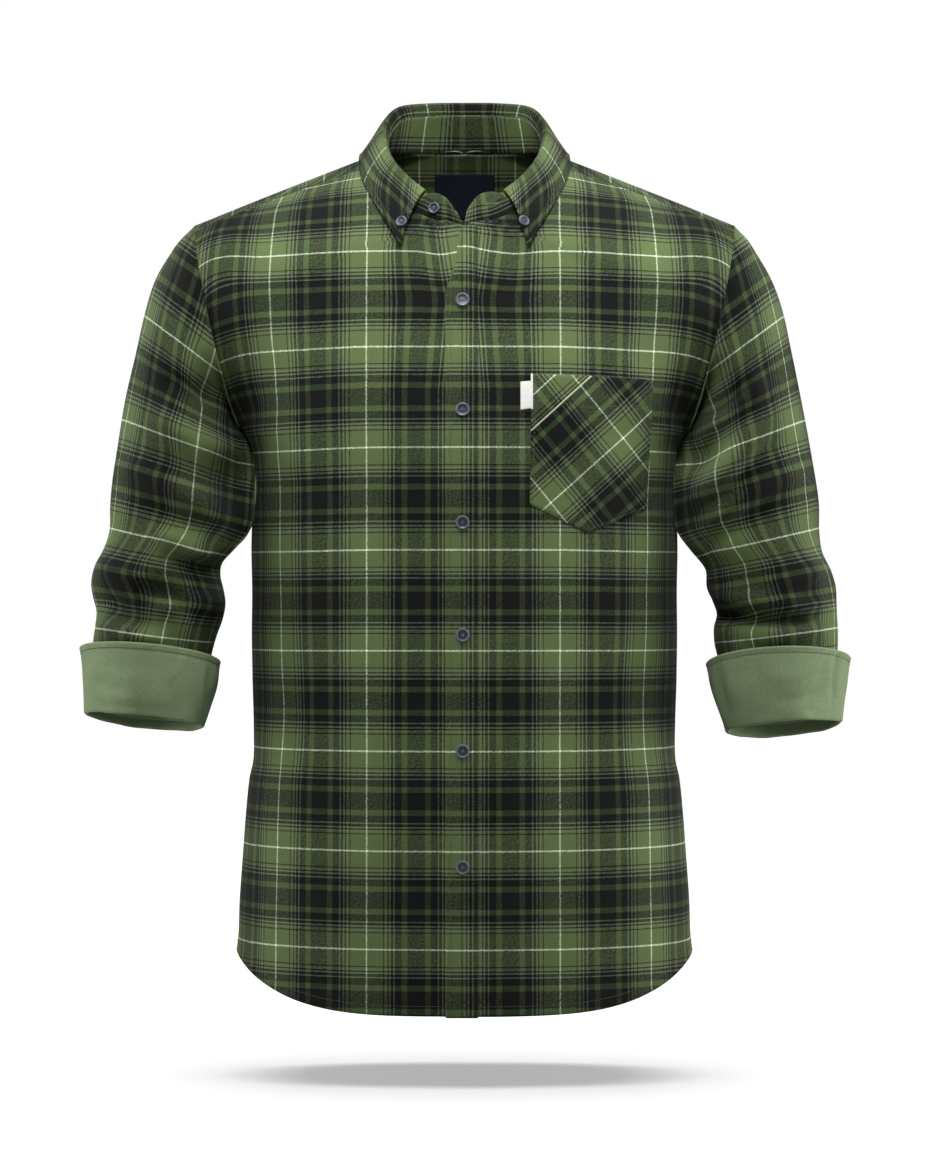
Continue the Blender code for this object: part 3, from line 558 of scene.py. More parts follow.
# %% Smooth curves through a table
def flow(rows, at):
    """Values at fractional row numbers, on smooth curves through the table's rows."""
    rows = np.asarray(rows, float)
    at = np.clip(np.asarray(at, float), 0, len(rows) - 1)
    steps = np.diff(rows, axis=0)
    slope = np.empty_like(rows)
    slope[1:-1] = (steps[:-1] + steps[1:]) / 2
    slope[0] = steps[0]
    slope[-1] = steps[-1]
    low = np.minimum(at.astype(int), len(rows) - 2)
    t = (at - low)[..., None]
    a, b = rows[low], rows[low + 1]
    return (
        a * (1 + 2 * t) * (1 - t) ** 2
        + slope[low] * t * (1 - t) ** 2
        + b * t * t * (3 - 2 * t)
        + slope[low + 1] * t * t * (t - 1)
    )


def ease(value, start, end):
    """0 at start, 1 at end, level at both."""
    t = np.clip((np.asarray(value, float) - start) / (end - start), 0, 1)
    return t * t * (3 - 2 * t)


def bezier(controls, u):
    """Points on curves of four controls each."""
    u = np.asarray(u, float)[..., None]
    a, b, c, d = (controls[..., k, :] for k in range(4))
    return a * (1 - u) ** 3 + 3 * b * u * (1 - u) ** 2 + 3 * c * u * u * (1 - u) + d * u**3


# %% The body's surface
def armhole(degrees):
    """Points of the armhole seam; 0 is its top and 90 its foremost point."""
    phi = np.radians(np.asarray(degrees, float))
    top, bottom = np.array(ARMHOLE_TOP), np.array(ARMHOLE_BOTTOM)
    mid, half = (top + bottom) / 2, (top - bottom) / 2
    point = mid + np.cos(phi)[..., None] * half
    point[..., 0] += ARMHOLE_BOW * np.abs(np.sin(phi))
    point[..., 1] -= ARMHOLE_DEPTH * np.sin(phi)
    return point


def row_controls(row):
    """Controls of one row over the shoulder, from the neck to the armhole."""
    facing = -1.0 if row.edge > 0 else 1.0
    start = np.array([row.nx, row.ny, row.nz])
    end = armhole(row.edge)
    fall = end[2] - start[2]
    n, e = math.radians(row.n_turn), math.radians(row.e_turn)
    leave = [math.cos(n) * row.n_pull, facing * math.sin(n) * row.n_pull, fall * row.n_drop]
    arrive = [-math.cos(e) * row.e_pull, facing * math.sin(e) * row.e_pull, -fall * row.e_drop]
    return np.array([start, start + leave, end + arrive, end])


def level_controls(level, facing):
    """Controls of one level of the trunk, from the middle to the side."""
    depth = facing * (level.front if facing < 0 else level.back)
    square = level.square
    seam_y = ARMHOLE_BOTTOM[1]
    side = seam_y + (depth - seam_y) * square
    return np.array(
        [
            [0.0, depth, level.side_z],
            [level.wide * square, depth, level.side_z],
            [level.wide, side, level.side_z],
            [level.wide, seam_y, level.side_z],
        ]
    )


FRONT_CONTROLS = np.array(
    [row_controls(r) for r in FRONT_ROWS] + [level_controls(v, -1.0) for v in LEVELS]
)
BACK_CONTROLS = np.array(
    [row_controls(r) for r in BACK_ROWS] + [level_controls(v, 1.0) for v in LEVELS]
)
FALL = np.array([[v.mid_z - v.side_z] for v in LEVELS])


def body_point(facing, row, u):
    """A point of the +X half. row counts down the rows, u runs from the centre out."""
    controls, upper = (
        (FRONT_CONTROLS, len(FRONT_ROWS)) if facing < 0 else (BACK_CONTROLS, len(BACK_ROWS))
    )
    shape = controls.shape
    at = flow(controls.reshape(shape[0], -1), row).reshape(np.shape(row) + (4, 3))
    point = bezier(at, u)
    level = np.asarray(row, float) - upper
    reach = np.abs(point[..., 0]) / np.maximum(at[..., 3, 0], 1.0)
    tail = (1 - np.clip(reach, 0, 1) ** TAIL_POWER) ** TAIL_SOFT
    drop = flow(FALL, np.maximum(level, 0))[..., 0] * (level > 0)
    if facing > 0:
        drop = drop - BACK_TAIL * ease(level, 10, len(LEVELS) - 1)
    point[..., 2] += drop * tail
    return point


def lap(point, side):
    """Moves the left front out, in front of the right one, near the centre line."""
    if side > 0:
        near = (1 - ease(np.abs(point[..., 0]), 20, 70)) * (point[..., 1] < 0)
        point[..., 1] -= LAP * near
    point[..., 0] *= side
    return point


def mesh_of(first, second):
    """Every pair of two lists, as two arrays: rows of the first, columns of the second."""
    return np.broadcast_arrays(np.asarray(first)[:, None], np.asarray(second)[None, :])


print("chest", round(2 * float(body_point(-1.0, float(len(FRONT_ROWS)), 1.0)[0]), 1), "mm wide")

# %% [markdown]
# ## Cloth as a thin shell
#
# Real cloth is a flat sheet about a millimetre thick. A Solidify modifier could thicken
# one sheet, but here each corner must keep its own place on the threads, and the inside
# may show other threads than the outside. So a shell is built from grids of points: the
# outer face, an inner face set back along the normals, and a rounded rim between them.
# Grids of one piece are joined where their points meet. Thread places go to a UV map, in
# metres.

# %% Normals of a grid
def unit(vectors):
    return vectors / np.maximum(np.linalg.norm(vectors, axis=-1), 1e-9)[..., None]


def grid_normals(points, closed=False):
    """Unit normals of a grid of points, by the slopes along its rows and columns."""
    if closed:
        padded = np.concatenate([points[:, -2:-1], points, points[:, 1:2]], axis=1)
        across = (padded[:, 2:] - padded[:, :-2]) / 2
    else:
        across = np.gradient(points, axis=1)
    return unit(np.cross(across, np.gradient(points, axis=0)))


# %% Joining grids into one face
ROUND = 0.42  # how far the rim bulges, as a share of the thickness


def weld(points):
    """Joins points that lie in one place: the places, and the place of each point."""
    _, first, same = np.unique(np.round(points, 3), axis=0, return_index=True, return_inverse=True)
    return points[first], same.reshape(-1)


def split_quads(quads, same):
    """Two triangles from each quad, by grid corner and by place, without empty ones."""
    triangles = np.concatenate([quads[:, [0, 1, 2]], quads[:, [0, 2, 3]]])
    at = same[triangles]
    good = (at[:, 0] != at[:, 1]) & (at[:, 1] != at[:, 2]) & (at[:, 0] != at[:, 2])
    return triangles[good], at[good]


def place_normals(places, at):
    """A unit normal at each place, and the area of all the faces."""
    a, b, c = (places[at[:, k]] for k in range(3))
    flat = np.cross(b - a, c - a)
    normals = np.zeros_like(places)
    for k in range(3):
        np.add.at(normals, at[:, k], flat)
    return unit(normals), np.linalg.norm(flat, axis=1).sum() / 2


def open_edges(triangles, at, total):
    """Edges with a face on one side only, by place and by grid corner."""
    pairs = np.concatenate([at[:, [0, 1]], at[:, [1, 2]], at[:, [2, 0]]])
    corners = np.concatenate([triangles[:, [0, 1]], triangles[:, [1, 2]], triangles[:, [2, 0]]])
    alone = ~np.isin(pairs[:, 0] * total + pairs[:, 1], pairs[:, 1] * total + pairs[:, 0])
    return pairs[alone], corners[alone]


def bulge(places, rim, normals):
    """Unit directions out of the cloth's edge, along its face."""
    edge_way = places[rim[:, 1]] - places[rim[:, 0]]
    away = np.zeros_like(places)
    for k in (0, 1):
        np.add.at(away, rim[:, k], np.cross(edge_way, normals[rim[:, k]]))
    return unit(away)


# %% Shell builder
class Cloth:
    """Grids of points with thread coordinates, to be joined into one shell."""

    def __init__(self, name):
        self.name = name
        self.points, self.threads, self.faces = [], [], []
        self.count = 0

    def grid(self, points, threads, turned=False):
        rows, columns = points.shape[:2]
        ids = np.arange(rows * columns).reshape(rows, columns) + self.count
        corners = [ids[:-1, :-1], ids[:-1, 1:], ids[1:, 1:], ids[1:, :-1]]
        quads = np.stack(corners, -1).reshape(-1, 4)
        self.faces.append(quads[:, ::-1] if turned else quads)
        self.points.append(points.reshape(-1, 3))
        self.threads.append(threads.reshape(-1, 2))
        self.count += rows * columns

    def build(self, thick, outside, inside, inside_shift=(0.0, 0.0), offset=0.0):
        """The shell, in metres, with the outer face moved out by offset."""
        places, same = weld(np.concatenate(self.points))
        triangles, at = split_quads(np.concatenate(self.faces), same)
        normals, area = place_normals(places, at)
        total = len(places)
        rim, corners = open_edges(triangles, at, total)
        outer = places + normals * offset
        inner = outer - normals * thick
        bead = (outer + inner) / 2 + bulge(places, rim, normals) * thick * ROUND
        beads, bead_at = np.unique(rim.reshape(-1), return_inverse=True)
        bead_at = bead_at.reshape(rim.shape) + 2 * total
        faces = [at, at[:, ::-1] + total]
        uv_from = [triangles, triangles[:, ::-1]]
        r0, r1, s0, s1 = rim[:, 0], rim[:, 1], corners[:, 0], corners[:, 1]
        b0, b1 = bead_at[:, 0], bead_at[:, 1]
        for near0, near1, far0, far1 in ((r0, r1, b0, b1), (b0, b1, r0 + total, r1 + total)):
            faces += [np.stack([near1, near0, far0], 1), np.stack([near1, far0, far1], 1)]
            uv_from += [np.stack([s1, s0, s0], 1), np.stack([s1, s0, s1], 1)]
        faces = np.concatenate(faces)
        mesh = bpy.data.meshes.new(self.name)
        mesh.from_pydata((np.concatenate([outer, inner, bead[beads]]) * MM).tolist(), [], faces.tolist())
        chart = mesh.uv_layers.new(name="threads")
        values = (np.concatenate(self.threads) * MM)[np.concatenate(uv_from).reshape(-1)]
        values[len(at) * 3 : len(at) * 6] += np.array(inside_shift) * MM
        chart.data.foreach_set("uv", values.astype(np.float32).reshape(-1))
        mesh.materials.append(outside)
        mesh.materials.append(inside)
        kinds = np.zeros(len(faces), np.int32)
        kinds[len(at) : 2 * len(at)] = 1
        mesh.polygons.foreach_set("material_index", kinds)
        mesh.shade_smooth()
        mesh.set_sharp_from_angle(angle=math.radians(62))
        obj = bpy.data.objects.new(self.name, mesh)
        scene.collection.objects.link(obj)
        outer_faces = [tuple(f) for f in at.tolist()]
        self.tree = BVHTree.FromPolygons([Vector(p) for p in outer], outer_faces)
        print(self.name, len(mesh.polygons), "triangles,", round(area * MM * MM, 4), "m2 of cloth")
        return obj

# %% [markdown]
# ## Threads on a body panel
#
# A flat unwrapping of the mesh would bend them. So a warp place is measured along the
# cloth from the centre line at one height, and a weft place down the cloth. Then the
# white lines are set to the heights at which they hang on the shirt.


# %% Thread coordinates of a body panel
def body_threads(grid, level_mm):
    """Warp place (arc from the centre line) and weft place (arc along the threads)."""
    x, y, z = grid[..., 0], grid[..., 1], grid[..., 2]
    levels = np.linspace(z.min(), z.max(), 280)
    px = np.stack([np.interp(levels, z[::-1, j], x[::-1, j]) for j in range(z.shape[1])], 1)
    py = np.stack([np.interp(levels, z[::-1, j], y[::-1, j]) for j in range(z.shape[1])], 1)
    steps = np.hypot(np.diff(px, axis=1), np.diff(py, axis=1))
    arc = px[:, :1] + np.concatenate([np.zeros((len(levels), 1)), np.cumsum(steps, 1)], 1)
    warp = np.stack([np.interp(z[:, j], levels, arc[:, j]) for j in range(z.shape[1])], 1)
    places = np.linspace(0, arc.max(), 160)
    tx = np.stack([np.interp(places, a, b) for a, b in zip(arc, px)])
    ty = np.stack([np.interp(places, a, b) for a, b in zip(arc, py)])
    flat = np.diff(tx, axis=0) ** 2 + np.diff(ty, axis=0) ** 2
    rise = np.sqrt(flat + np.diff(levels)[:, None] ** 2)
    run = np.concatenate([np.zeros((1, len(places))), np.cumsum(rise, 0)])
    run -= np.array([np.interp(level_mm, levels, run[:, k]) for k in range(len(places))])
    fi = np.clip((z - levels[0]) / (levels[1] - levels[0]), 0, len(levels) - 1.001)
    fj = np.clip(warp / (places[1] - places[0]), 0, len(places) - 1.001)
    i, j = fi.astype(int), fj.astype(int)
    a, b = fi - i, fj - j
    weft = (run[i, j] * (1 - b) + run[i, j + 1] * b) * (1 - a)
    weft += (run[i + 1, j] * (1 - b) + run[i + 1, j + 1] * b) * a
    return warp, weft


# %% White lines at the heights where they hang
WEFT_ZERO = -243.0
WEFT_LINES = (-658.4, -577.1, -494.5, -411.2, -327.8, -243.0, -159.5, -79.3)
WEFT_DROOP = (-0.8, -1.0, -0.6, 0.5, 1.6, 2.6, 2.6, 3.3)  # how far each line sinks at the sides
SETT_MM = REPEAT * 1000
LEAN = {-1: (3.5, -6.0), 0: (0.0, 0.0), 1: (3.0, -5.4)}  # at the open neck


def to_lines(grid, warp, weft, middle_z, middle_weft, side=0):
    """Shifts the threads so that the white lines lie as they hang on the body."""
    heights = np.array(WEFT_LINES)
    at = np.interp(heights, middle_z[::-1], middle_weft[::-1])
    more = np.arange(1, 6) * SETT_MM
    at = np.concatenate([at[0] - more[::-1], at, at[-1] + more])
    places = (np.arange(len(at)) - WEFT_LINES.index(WEFT_ZERO) - len(more)) * SETT_MM
    x, z = np.abs(grid[..., 0]), grid[..., 2]
    droop = np.interp(z, heights, WEFT_DROOP) * ease(x, 70, 165)
    # at the open neck the cloth turns a little, and its threads with it
    neck = np.exp(-(((z + 82) / 34) ** 2))
    if side < 0:
        droop += 3.2 * neck * np.exp(-(((x - 20) / 13) ** 2))
    if side > 0:
        droop += neck * (2.4 * np.exp(-(((x - 42) / 18) ** 2)) - 3.6 * np.exp(-((x / 14) ** 2)))
    out, into = LEAN[side]
    lean = np.interp(z, (-195, -121, -58), (0.0, into, out)) * (1 - ease(x, 25, 75))
    droop = droop - 9.0 * ease(x, 165, 218) * ease(z, -120, -90)
    waist = 5.0 * np.exp(-(((z + 462) / 55) ** 2)) * ease(x, 105, 150)
    return warp + waist - lean, np.interp(weft + droop, at, places)


# %% Lengths and places on a grid
def arcs(grid, axis):
    """Running length along one axis of a grid."""
    steps = np.linalg.norm(np.diff(grid, axis=axis), axis=-1)
    zero = np.zeros_like(np.take(steps, [0], axis=axis))
    return np.concatenate([zero, np.cumsum(steps, axis=axis)], axis=axis)


def from_end(grid, distance):
    """For each column, the fractional row that lies this far before the last row."""
    run = arcs(grid, 0)
    count = np.arange(len(run))
    return np.array([np.interp(line[-1] - distance, line, count) for line in run.T])


def on_grid(grid, turned, rows, columns, lift):
    """Points at fractional rows and columns of a grid, raised off its outer face."""
    rows, columns = np.broadcast_arrays(np.asarray(rows, float), np.asarray(columns, float))
    raised = grid + grid_normals(grid) * (-lift if turned else lift)
    i = np.clip(rows.astype(int), 0, grid.shape[0] - 2)
    j = np.clip(columns.astype(int), 0, grid.shape[1] - 2)
    a, b = (rows - i)[:, None], (columns - j)[:, None]
    upper = raised[i, j] * (1 - b) + raised[i, j + 1] * b
    lower = raised[i + 1, j] * (1 - b) + raised[i + 1, j + 1] * b
    return upper * (1 - a) + lower * a

# %% [markdown]
# ## Stitches
#
# Every seam and hem is topstitched by machine, about four stitches to a centimetre. One
# stitch is a short, thick piece of thread that sinks in at both ends. A row could be a
# picture of stitches, but then it would have no height. It is the same all along a line,
# so a node tool lays copies of one stitch on it, each a little askew, and the result is
# kept as a plain mesh.

# %% Stitch tool
tool = bpy.data.node_groups.new("row_of_stitches", "GeometryNodeTree")
SOCKETS = {}
for label, kind, default in (
    ("Line", "NodeSocketGeometry", None),
    ("Pitch", "NodeSocketFloat", 0.0027),
    ("Length", "NodeSocketFloat", 0.0020),
    ("Thickness", "NodeSocketFloat", 0.0005),
    ("Askew", "NodeSocketFloat", 0.10),
    ("Seed", "NodeSocketInt", 5),
    ("Thread", "NodeSocketMaterial", None),
):
    socket = tool.interface.new_socket(label, in_out="INPUT", socket_type=kind)
    if default is not None:
        socket.default_value = default
    SOCKETS[label] = socket.identifier
tool.interface.new_socket("Stitches", in_out="OUTPUT", socket_type="NodeSocketGeometry")
w = Wires(tool)
start, end = w.node("NodeGroupInput"), w.node("NodeGroupOutput")
line = w.node("GeometryNodeMeshToCurve")
w.link(start.outputs["Line"], line.inputs["Mesh"])
spots = w.node("GeometryNodeCurveToPoints", mode="LENGTH")
w.link(line.outputs["Curve"], spots.inputs["Curve"])
w.link(start.outputs["Pitch"], spots.inputs["Length"])
one = w.node("GeometryNodeMeshUVSphere")
for label, value in (("Segments", 6), ("Rings", 4), ("Radius", 0.5)):
    one.inputs[label].default_value = value
shaped = w.node("GeometryNodeTransform")
w.link(one.outputs["Mesh"], shaped.inputs["Geometry"])
thick = start.outputs["Thickness"]
w.link(w.vector(thick, thick, start.outputs["Length"]), shaped.inputs["Scale"])
along = w.node("FunctionNodeAlignRotationToVector", axis="Z")
w.link(spots.outputs["Tangent"], along.inputs["Vector"])
chance = w.node("FunctionNodeRandomValue", data_type="FLOAT_VECTOR")
askew = start.outputs["Askew"]
back = w.math("MULTIPLY", askew, -1.0)
w.link(w.vector(back, back, 0.0), chance.inputs[0])
w.link(w.vector(askew, askew, 0.0), chance.inputs[1])
w.link(start.outputs["Seed"], chance.inputs["Seed"])
tilt = w.node("FunctionNodeEulerToRotation")
w.link(chance.outputs[0], tilt.inputs[0])
both = w.node("FunctionNodeRotateRotation", rotation_space="LOCAL")
w.link(along.outputs["Rotation"], both.inputs[0])
w.link(tilt.outputs[0], both.inputs[1])
copies = w.node("GeometryNodeInstanceOnPoints")
w.link(spots.outputs["Points"], copies.inputs["Points"])
w.link(shaped.outputs["Geometry"], copies.inputs["Instance"])
w.link(both.outputs[0], copies.inputs["Rotation"])
real = w.node("GeometryNodeRealizeInstances")
w.link(copies.outputs["Instances"], real.inputs["Geometry"])
soft = w.node("GeometryNodeSetShadeSmooth")
w.link(real.outputs["Geometry"], soft.inputs["Geometry"])
dyed = w.node("GeometryNodeSetMaterial")
w.link(soft.outputs["Geometry"], dyed.inputs["Geometry"])
w.link(start.outputs["Thread"], dyed.inputs["Material"])
w.link(dyed.outputs["Geometry"], end.inputs["Stitches"])
print(tool.name, "takes", list(SOCKETS))


# %% Sewing thread and the sew helper
def thread_material(name, dark, light):
    """Twisted polyester thread: two tones that change from stitch to stitch."""
    made, shader = plain_material(name, dark, 0.6)
    w = Wires(made.node_tree)
    spot = w.node("ShaderNodeTexCoord").outputs["Object"]
    w.link(w.mix(w.noise(spot, 900.0), (*dark, 1), (*light, 1)), shader.inputs["Base Color"])
    return made


GREEN_THREAD = thread_material("green_thread", (0.020, 0.028, 0.015), (0.050, 0.066, 0.036))
SAGE_THREAD = thread_material("sage_thread", (0.018, 0.026, 0.013), (0.045, 0.062, 0.034))
PALE_THREAD = thread_material("pale_thread", (0.10, 0.13, 0.075), (0.19, 0.23, 0.15))


def sew(name, rows, thread, pitch=2.7, long=2.0, thick=0.5):
    """Rows of stitches along lines of points (mm), kept as one plain mesh."""
    points, edges = [], []
    for row in rows:
        edges += [(len(points) + k, len(points) + k + 1) for k in range(len(row) - 1)]
        points += [tuple(np.asarray(p) * MM) for p in row]
    mesh = bpy.data.meshes.new(name + "_line")
    mesh.from_pydata(points, edges, [])
    guide = bpy.data.objects.new(name + "_line", mesh)
    scene.collection.objects.link(guide)
    lay = guide.modifiers.new("stitches", "NODES")
    lay.node_group = tool
    lay[SOCKETS["Pitch"]] = pitch * MM
    lay[SOCKETS["Length"]] = long * MM
    lay[SOCKETS["Thickness"]] = thick * MM
    lay[SOCKETS["Thread"]] = thread
    bpy.context.view_layer.update()
    seen = guide.evaluated_get(bpy.context.evaluated_depsgraph_get())
    made = bpy.data.meshes.new_from_object(seen)
    made.name = name
    bpy.data.objects.remove(guide)
    obj = bpy.data.objects.new(name, made)
    scene.collection.objects.link(obj)
    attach(obj, "root")
    print(name, len(made.polygons) // 24, "stitches")
    return obj

# %% [markdown]
# ## Creases
#
# Cloth that hangs on a body is never quite smooth. The main creases are laid in one by
# one, each as a soft ridge or trough between two points of the front (or back) view, and a
# little slow waviness is added in between. They could be sculpted or simulated; numbers
# in a table are chosen, because they can be read, moved and repeated. Every crease dies
# out at the seams.

# %% Crease helpers
Fold = namedtuple("Fold", "x0 z0 x1 z1 wide deep bend")
rng = np.random.default_rng(7)
WAVES = [
    tuple(rng.uniform(low, high) for low, high in ((0.010, 0.028), (0.004, 0.012), (0, 6.28), (0.5, 1)))
    for _ in range(10)
]


def folds_at(x, z, folds):
    """Height of the creases at points of a view, x outwards and z up."""
    shift = np.zeros_like(x)
    for f in folds:
        run = np.array([f.x1 - f.x0, f.z1 - f.z0])
        length = np.hypot(*run)
        dx, dz = x - f.x0, z - f.z0
        along = (dx * run[0] + dz * run[1]) / length**2
        across = (dz * run[0] - dx * run[1]) / length - f.bend * 4 * along * (1 - along)
        ends = ease(along, -0.12, 0.3) * (1 - ease(along, 0.65, 1.12))
        near = across / f.wide
        shift += f.deep * ends * np.exp(-(near**2)) * (1 - 0.35 * near)
    return shift


def waviness(a, b, size):
    """Slow unevenness, stretched along b."""
    total = np.zeros_like(a)
    for k, (fa, fb, phase, share) in enumerate(WAVES):
        total += share * np.sin(a * fa * 6.28 + b * fb * 6.28 * (-1) ** k + phase)
    return size * total / len(WAVES)


print(len(WAVES), "slow waves")

# %% [markdown]
# ## Fronts
#
# The fronts are cut from the yoke seam to the curved hem. The left one laps over the
# right one and carries the placket. The hem is turned up twice, 8 mm wide, so the cloth
# is a little thicker there. Each front could be one flat sheet pressed on the body; a
# grid over the body's own rows is chosen, so that its seams meet those of its neighbours.

# %% Folds of the fronts, and how threads and panels meet
CLOTH = 0.9
HEM = 8.0  # from the edge to its row of stitches
FRONT_LAST = len(FRONT_ROWS) + len(LEVELS) - 1
BACK_LAST = len(BACK_ROWS) + len(LEVELS) - 1
WARP_SCALE = SETT_MM / 83.1
FRONT_CENTRE = {-1: -1.65, 1: 3.2}
FOLDS_FRONT = {
    -1: (
        Fold(196, -150, 118, -196, 16, -1.6, 4),
        Fold(188, -206, 110, -222, 15, -1.8, -4),
        Fold(182, -238, 120, -262, 14, 1.5, 3),
        Fold(176, -300, 140, -430, 14, -1.2, 4),
        Fold(120, -420, 96, -640, 18, -1.2, 5),
        Fold(170, -470, 120, -540, 16, 1.2, 5),
        Fold(60, -360, 44, -560, 16, 0.9, 5),
    ),
    1: (
        Fold(196, -146, 124, -176, 16, -1.6, -4),
        Fold(188, -210, 118, -238, 15, -1.8, 4),
        Fold(182, -246, 128, -276, 14, 1.4, 3),
        Fold(174, -320, 136, -470, 15, -1.2, -4),
        Fold(112, -400, 90, -620, 18, -1.2, -5),
        Fold(168, -500, 116, -560, 16, 1.2, 5),
        Fold(52, -340, 40, -540, 16, 0.8, -5),
    ),
}


# %% Surface of a front
def hem_bead(row, last):
    """The turned-up hem stands out a little."""
    return np.exp(-(((row - last) / 0.16) ** 2)) * 0.35


def front_surface(side, row, u):
    """Points of a front with its creases, and the smooth points they start from."""
    smooth = lap(body_point(-1.0, row, u), side)
    x, z = np.abs(smooth[..., 0]), smooth[..., 2]
    lift = folds_at(x, z, FOLDS_FRONT[side]) + waviness(x + 40 * side, z, 0.9)
    # no crease at the centre, the side seam or the yoke seam
    lift *= ease(x, 18, 60) * ((1 - ease(u, 0.90, 0.995)) * ease(row, 0.0, 0.8))
    normal = grid_normals(smooth)
    normal *= np.sign(-normal[..., 1:2] + 1e-9)
    return smooth + normal * (lift + hem_bead(row, FRONT_LAST))[..., None], smooth


# %% Right and left front
rows = np.concatenate([np.linspace(0, 10, 90)[:-1], np.linspace(10, FRONT_LAST, 130)])
across = np.linspace(0, 1, 78)
fronts, panels = {}, {}
opening = np.array(OPENING)
for side, name in ((-1, "front_right"), (1, "front_left")):
    grid, smooth = front_surface(side, *mesh_of(rows, across))
    level = smooth * np.array([side, 1, 1])
    warp, weft = body_threads(level, WEFT_ZERO)
    low = int(np.searchsorted(rows, NECK_ROWS - 1))
    warp, weft = to_lines(level, warp, weft, level[low:, 0, 2], weft[low:, 0], side)
    threads = np.stack([(warp * side + FRONT_CENTRE[side]) * WARP_SCALE, weft], -1)
    cloth = Cloth(name + "_cloth")
    cloth.grid(grid, threads, turned=side > 0)
    middle, middle_threads = grid[low:, 0], threads[low:, 0]
    past = np.interp(-middle[:, 2], -opening[:, 0], opening[:, 1]) if side > 0 else 12.0
    steps = np.linspace(1, 0, 5)
    strip = np.repeat(middle[:, None], 5, axis=1)
    strip[:, :, 0] = -side * np.multiply.outer(np.broadcast_to(past, len(middle)), steps)
    strip_threads = np.repeat(middle_threads[:, None], 5, axis=1)
    strip_threads[:, :, 0] += strip[:, :, 0]
    cloth.grid(strip, strip_threads, turned=side > 0)
    fronts[side], panels[side] = cloth, (grid, threads)
    obj = cloth.build(CLOTH, CHECKED, REVERSE)
    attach(obj, "root")
    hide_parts(name)
    whole = np.concatenate([strip[:, :-1], grid[low:]], axis=1)
    hem = on_grid(whole, side > 0, from_end(whole, HEM), np.arange(whole.shape[1]), 0.15)
    sew(name + "_hem_stitches", [hem], GREEN_THREAD)

# %% [markdown]
# ## Back
#
# The back is one piece, from the yoke seam to a longer tail. The picture doesn't show it,
# so its creases are few and gentle. It is made as the fronts are, as two mirrored grids
# that are joined along the middle, because its check has to run on across the centre.

# %% Surface of the back
FOLDS_BACK = (
    Fold(20, -150, 60, -300, 20, -1.6, 5),
    Fold(150, -190, 90, -240, 18, 1.8, 4),
    Fold(165, -230, 80, -300, 18, -1.8, -4),
    Fold(120, -330, 100, -520, 20, 1.5, 5),
    Fold(60, -400, 40, -640, 20, -1.5, -5),
    Fold(160, -400, 120, -470, 18, -1.6, 5),
)


def back_surface(side, row, u):
    """Points of the back with its creases, and the smooth points they start from."""
    smooth = body_point(1.0, row, u)
    smooth[..., 0] *= side
    x, z = np.abs(smooth[..., 0]), smooth[..., 2]
    lift = folds_at(x + 6 * side, z + 14 * side, FOLDS_BACK) + waviness(x + 90 * side, z, 1.4)
    first = YOKE_ROWS - 1
    lift *= (1 - ease(u, 0.90, 0.995)) * ease(row, first, first + 1) * ease(x, 0, 25)
    normal = grid_normals(smooth)
    normal *= np.sign(normal[..., 1:2] + 1e-9)
    return smooth + normal * (lift + hem_bead(row, BACK_LAST))[..., None], smooth


# %% Back piece
rows_back = np.linspace(YOKE_ROWS - 1, BACK_LAST, 190)
across_back = np.linspace(0, 1, 66)
cloth = Cloth("back_cloth")
hem_rows = []
for side in (-1, 1):
    grid, smooth = back_surface(side, *mesh_of(rows_back, across_back))
    level = smooth * np.array([side, 1, 1])
    warp, weft = body_threads(level, WEFT_ZERO)
    warp, weft = to_lines(level, warp, weft, level[:, 0, 2], weft[:, 0])
    threads = np.stack([warp * side * WARP_SCALE, weft], -1)
    cloth.grid(grid, threads, turned=side < 0)
    places = np.arange(grid.shape[1])
    hem_rows.append(on_grid(grid, side < 0, from_end(grid, HEM), places, 0.15))
back = cloth.build(CLOTH, CHECKED, REVERSE)
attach(back, "root")
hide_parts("back")
sew("back_hem_stitches", hem_rows, GREEN_THREAD)

# %% [markdown]
# ## Yoke
#
# The yoke is a double layer over both shoulders. Its front seams lie a little forward of
# the shoulder line. Its inner layer shows through the neck, so both faces are checked.
# Two sheets could be laid on each other, but nobody sees between them: one thicker shell
# is chosen, whose inside is shifted along the check, as the second layer's cut would be.

# %% Yoke
YOKE_THICK = 1.4
YOKE_WARP = 39.0  # shifts that bring the white lines to where they lie on the shoulders
YOKE_WEFT = 18.0
INNER_YOKE_SHIFT = (0.0, 50.2)
SEAM_STITCH = 1.8  # from a seam to its row of stitches
rows_yoke = np.linspace(0, YOKE_ROWS - 1, 76)
cloth = Cloth("yoke_cloth")
seam_rows = []
for side in (-1, 1):
    grid = body_point(1.0, *mesh_of(rows_yoke, np.linspace(0, 1, 72)))
    grid[..., 0] *= side
    out = np.abs(grid[..., 0])
    warp = out + 0.07 * np.maximum(out - 75, 0)
    weft = arcs(grid, 0)
    along = weft[-1:] - weft + YOKE_WEFT
    # behind the neck the threads across lie level
    first = int(np.searchsorted(rows_yoke, NECK_ROWS - 1))
    level = np.interp(grid[..., 2], grid[first:, 0, 2][::-1], along[first:, 0][::-1])
    share = ease(grid[..., 1], 18, 50)
    along = along * (1 - share) + level * share
    threads = np.stack([warp * side + YOKE_WARP, along], -1)
    cloth.grid(grid, threads, turned=side < 0)
    places = np.arange(grid.shape[1])
    seam_rows.append(on_grid(grid, side < 0, from_end(grid, SEAM_STITCH), places, 0.3))
    from_start = len(grid) - 1 - from_end(grid[::-1], SEAM_STITCH)
    seam_rows.append(on_grid(grid, side < 0, from_start, places, 0.3))
yoke = cloth.build(YOKE_THICK, CHECKED, CHECKED, inside_shift=INNER_YOKE_SHIFT, offset=0.12)
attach(yoke, "root")
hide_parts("yoke")
yoke_tree = cloth.tree
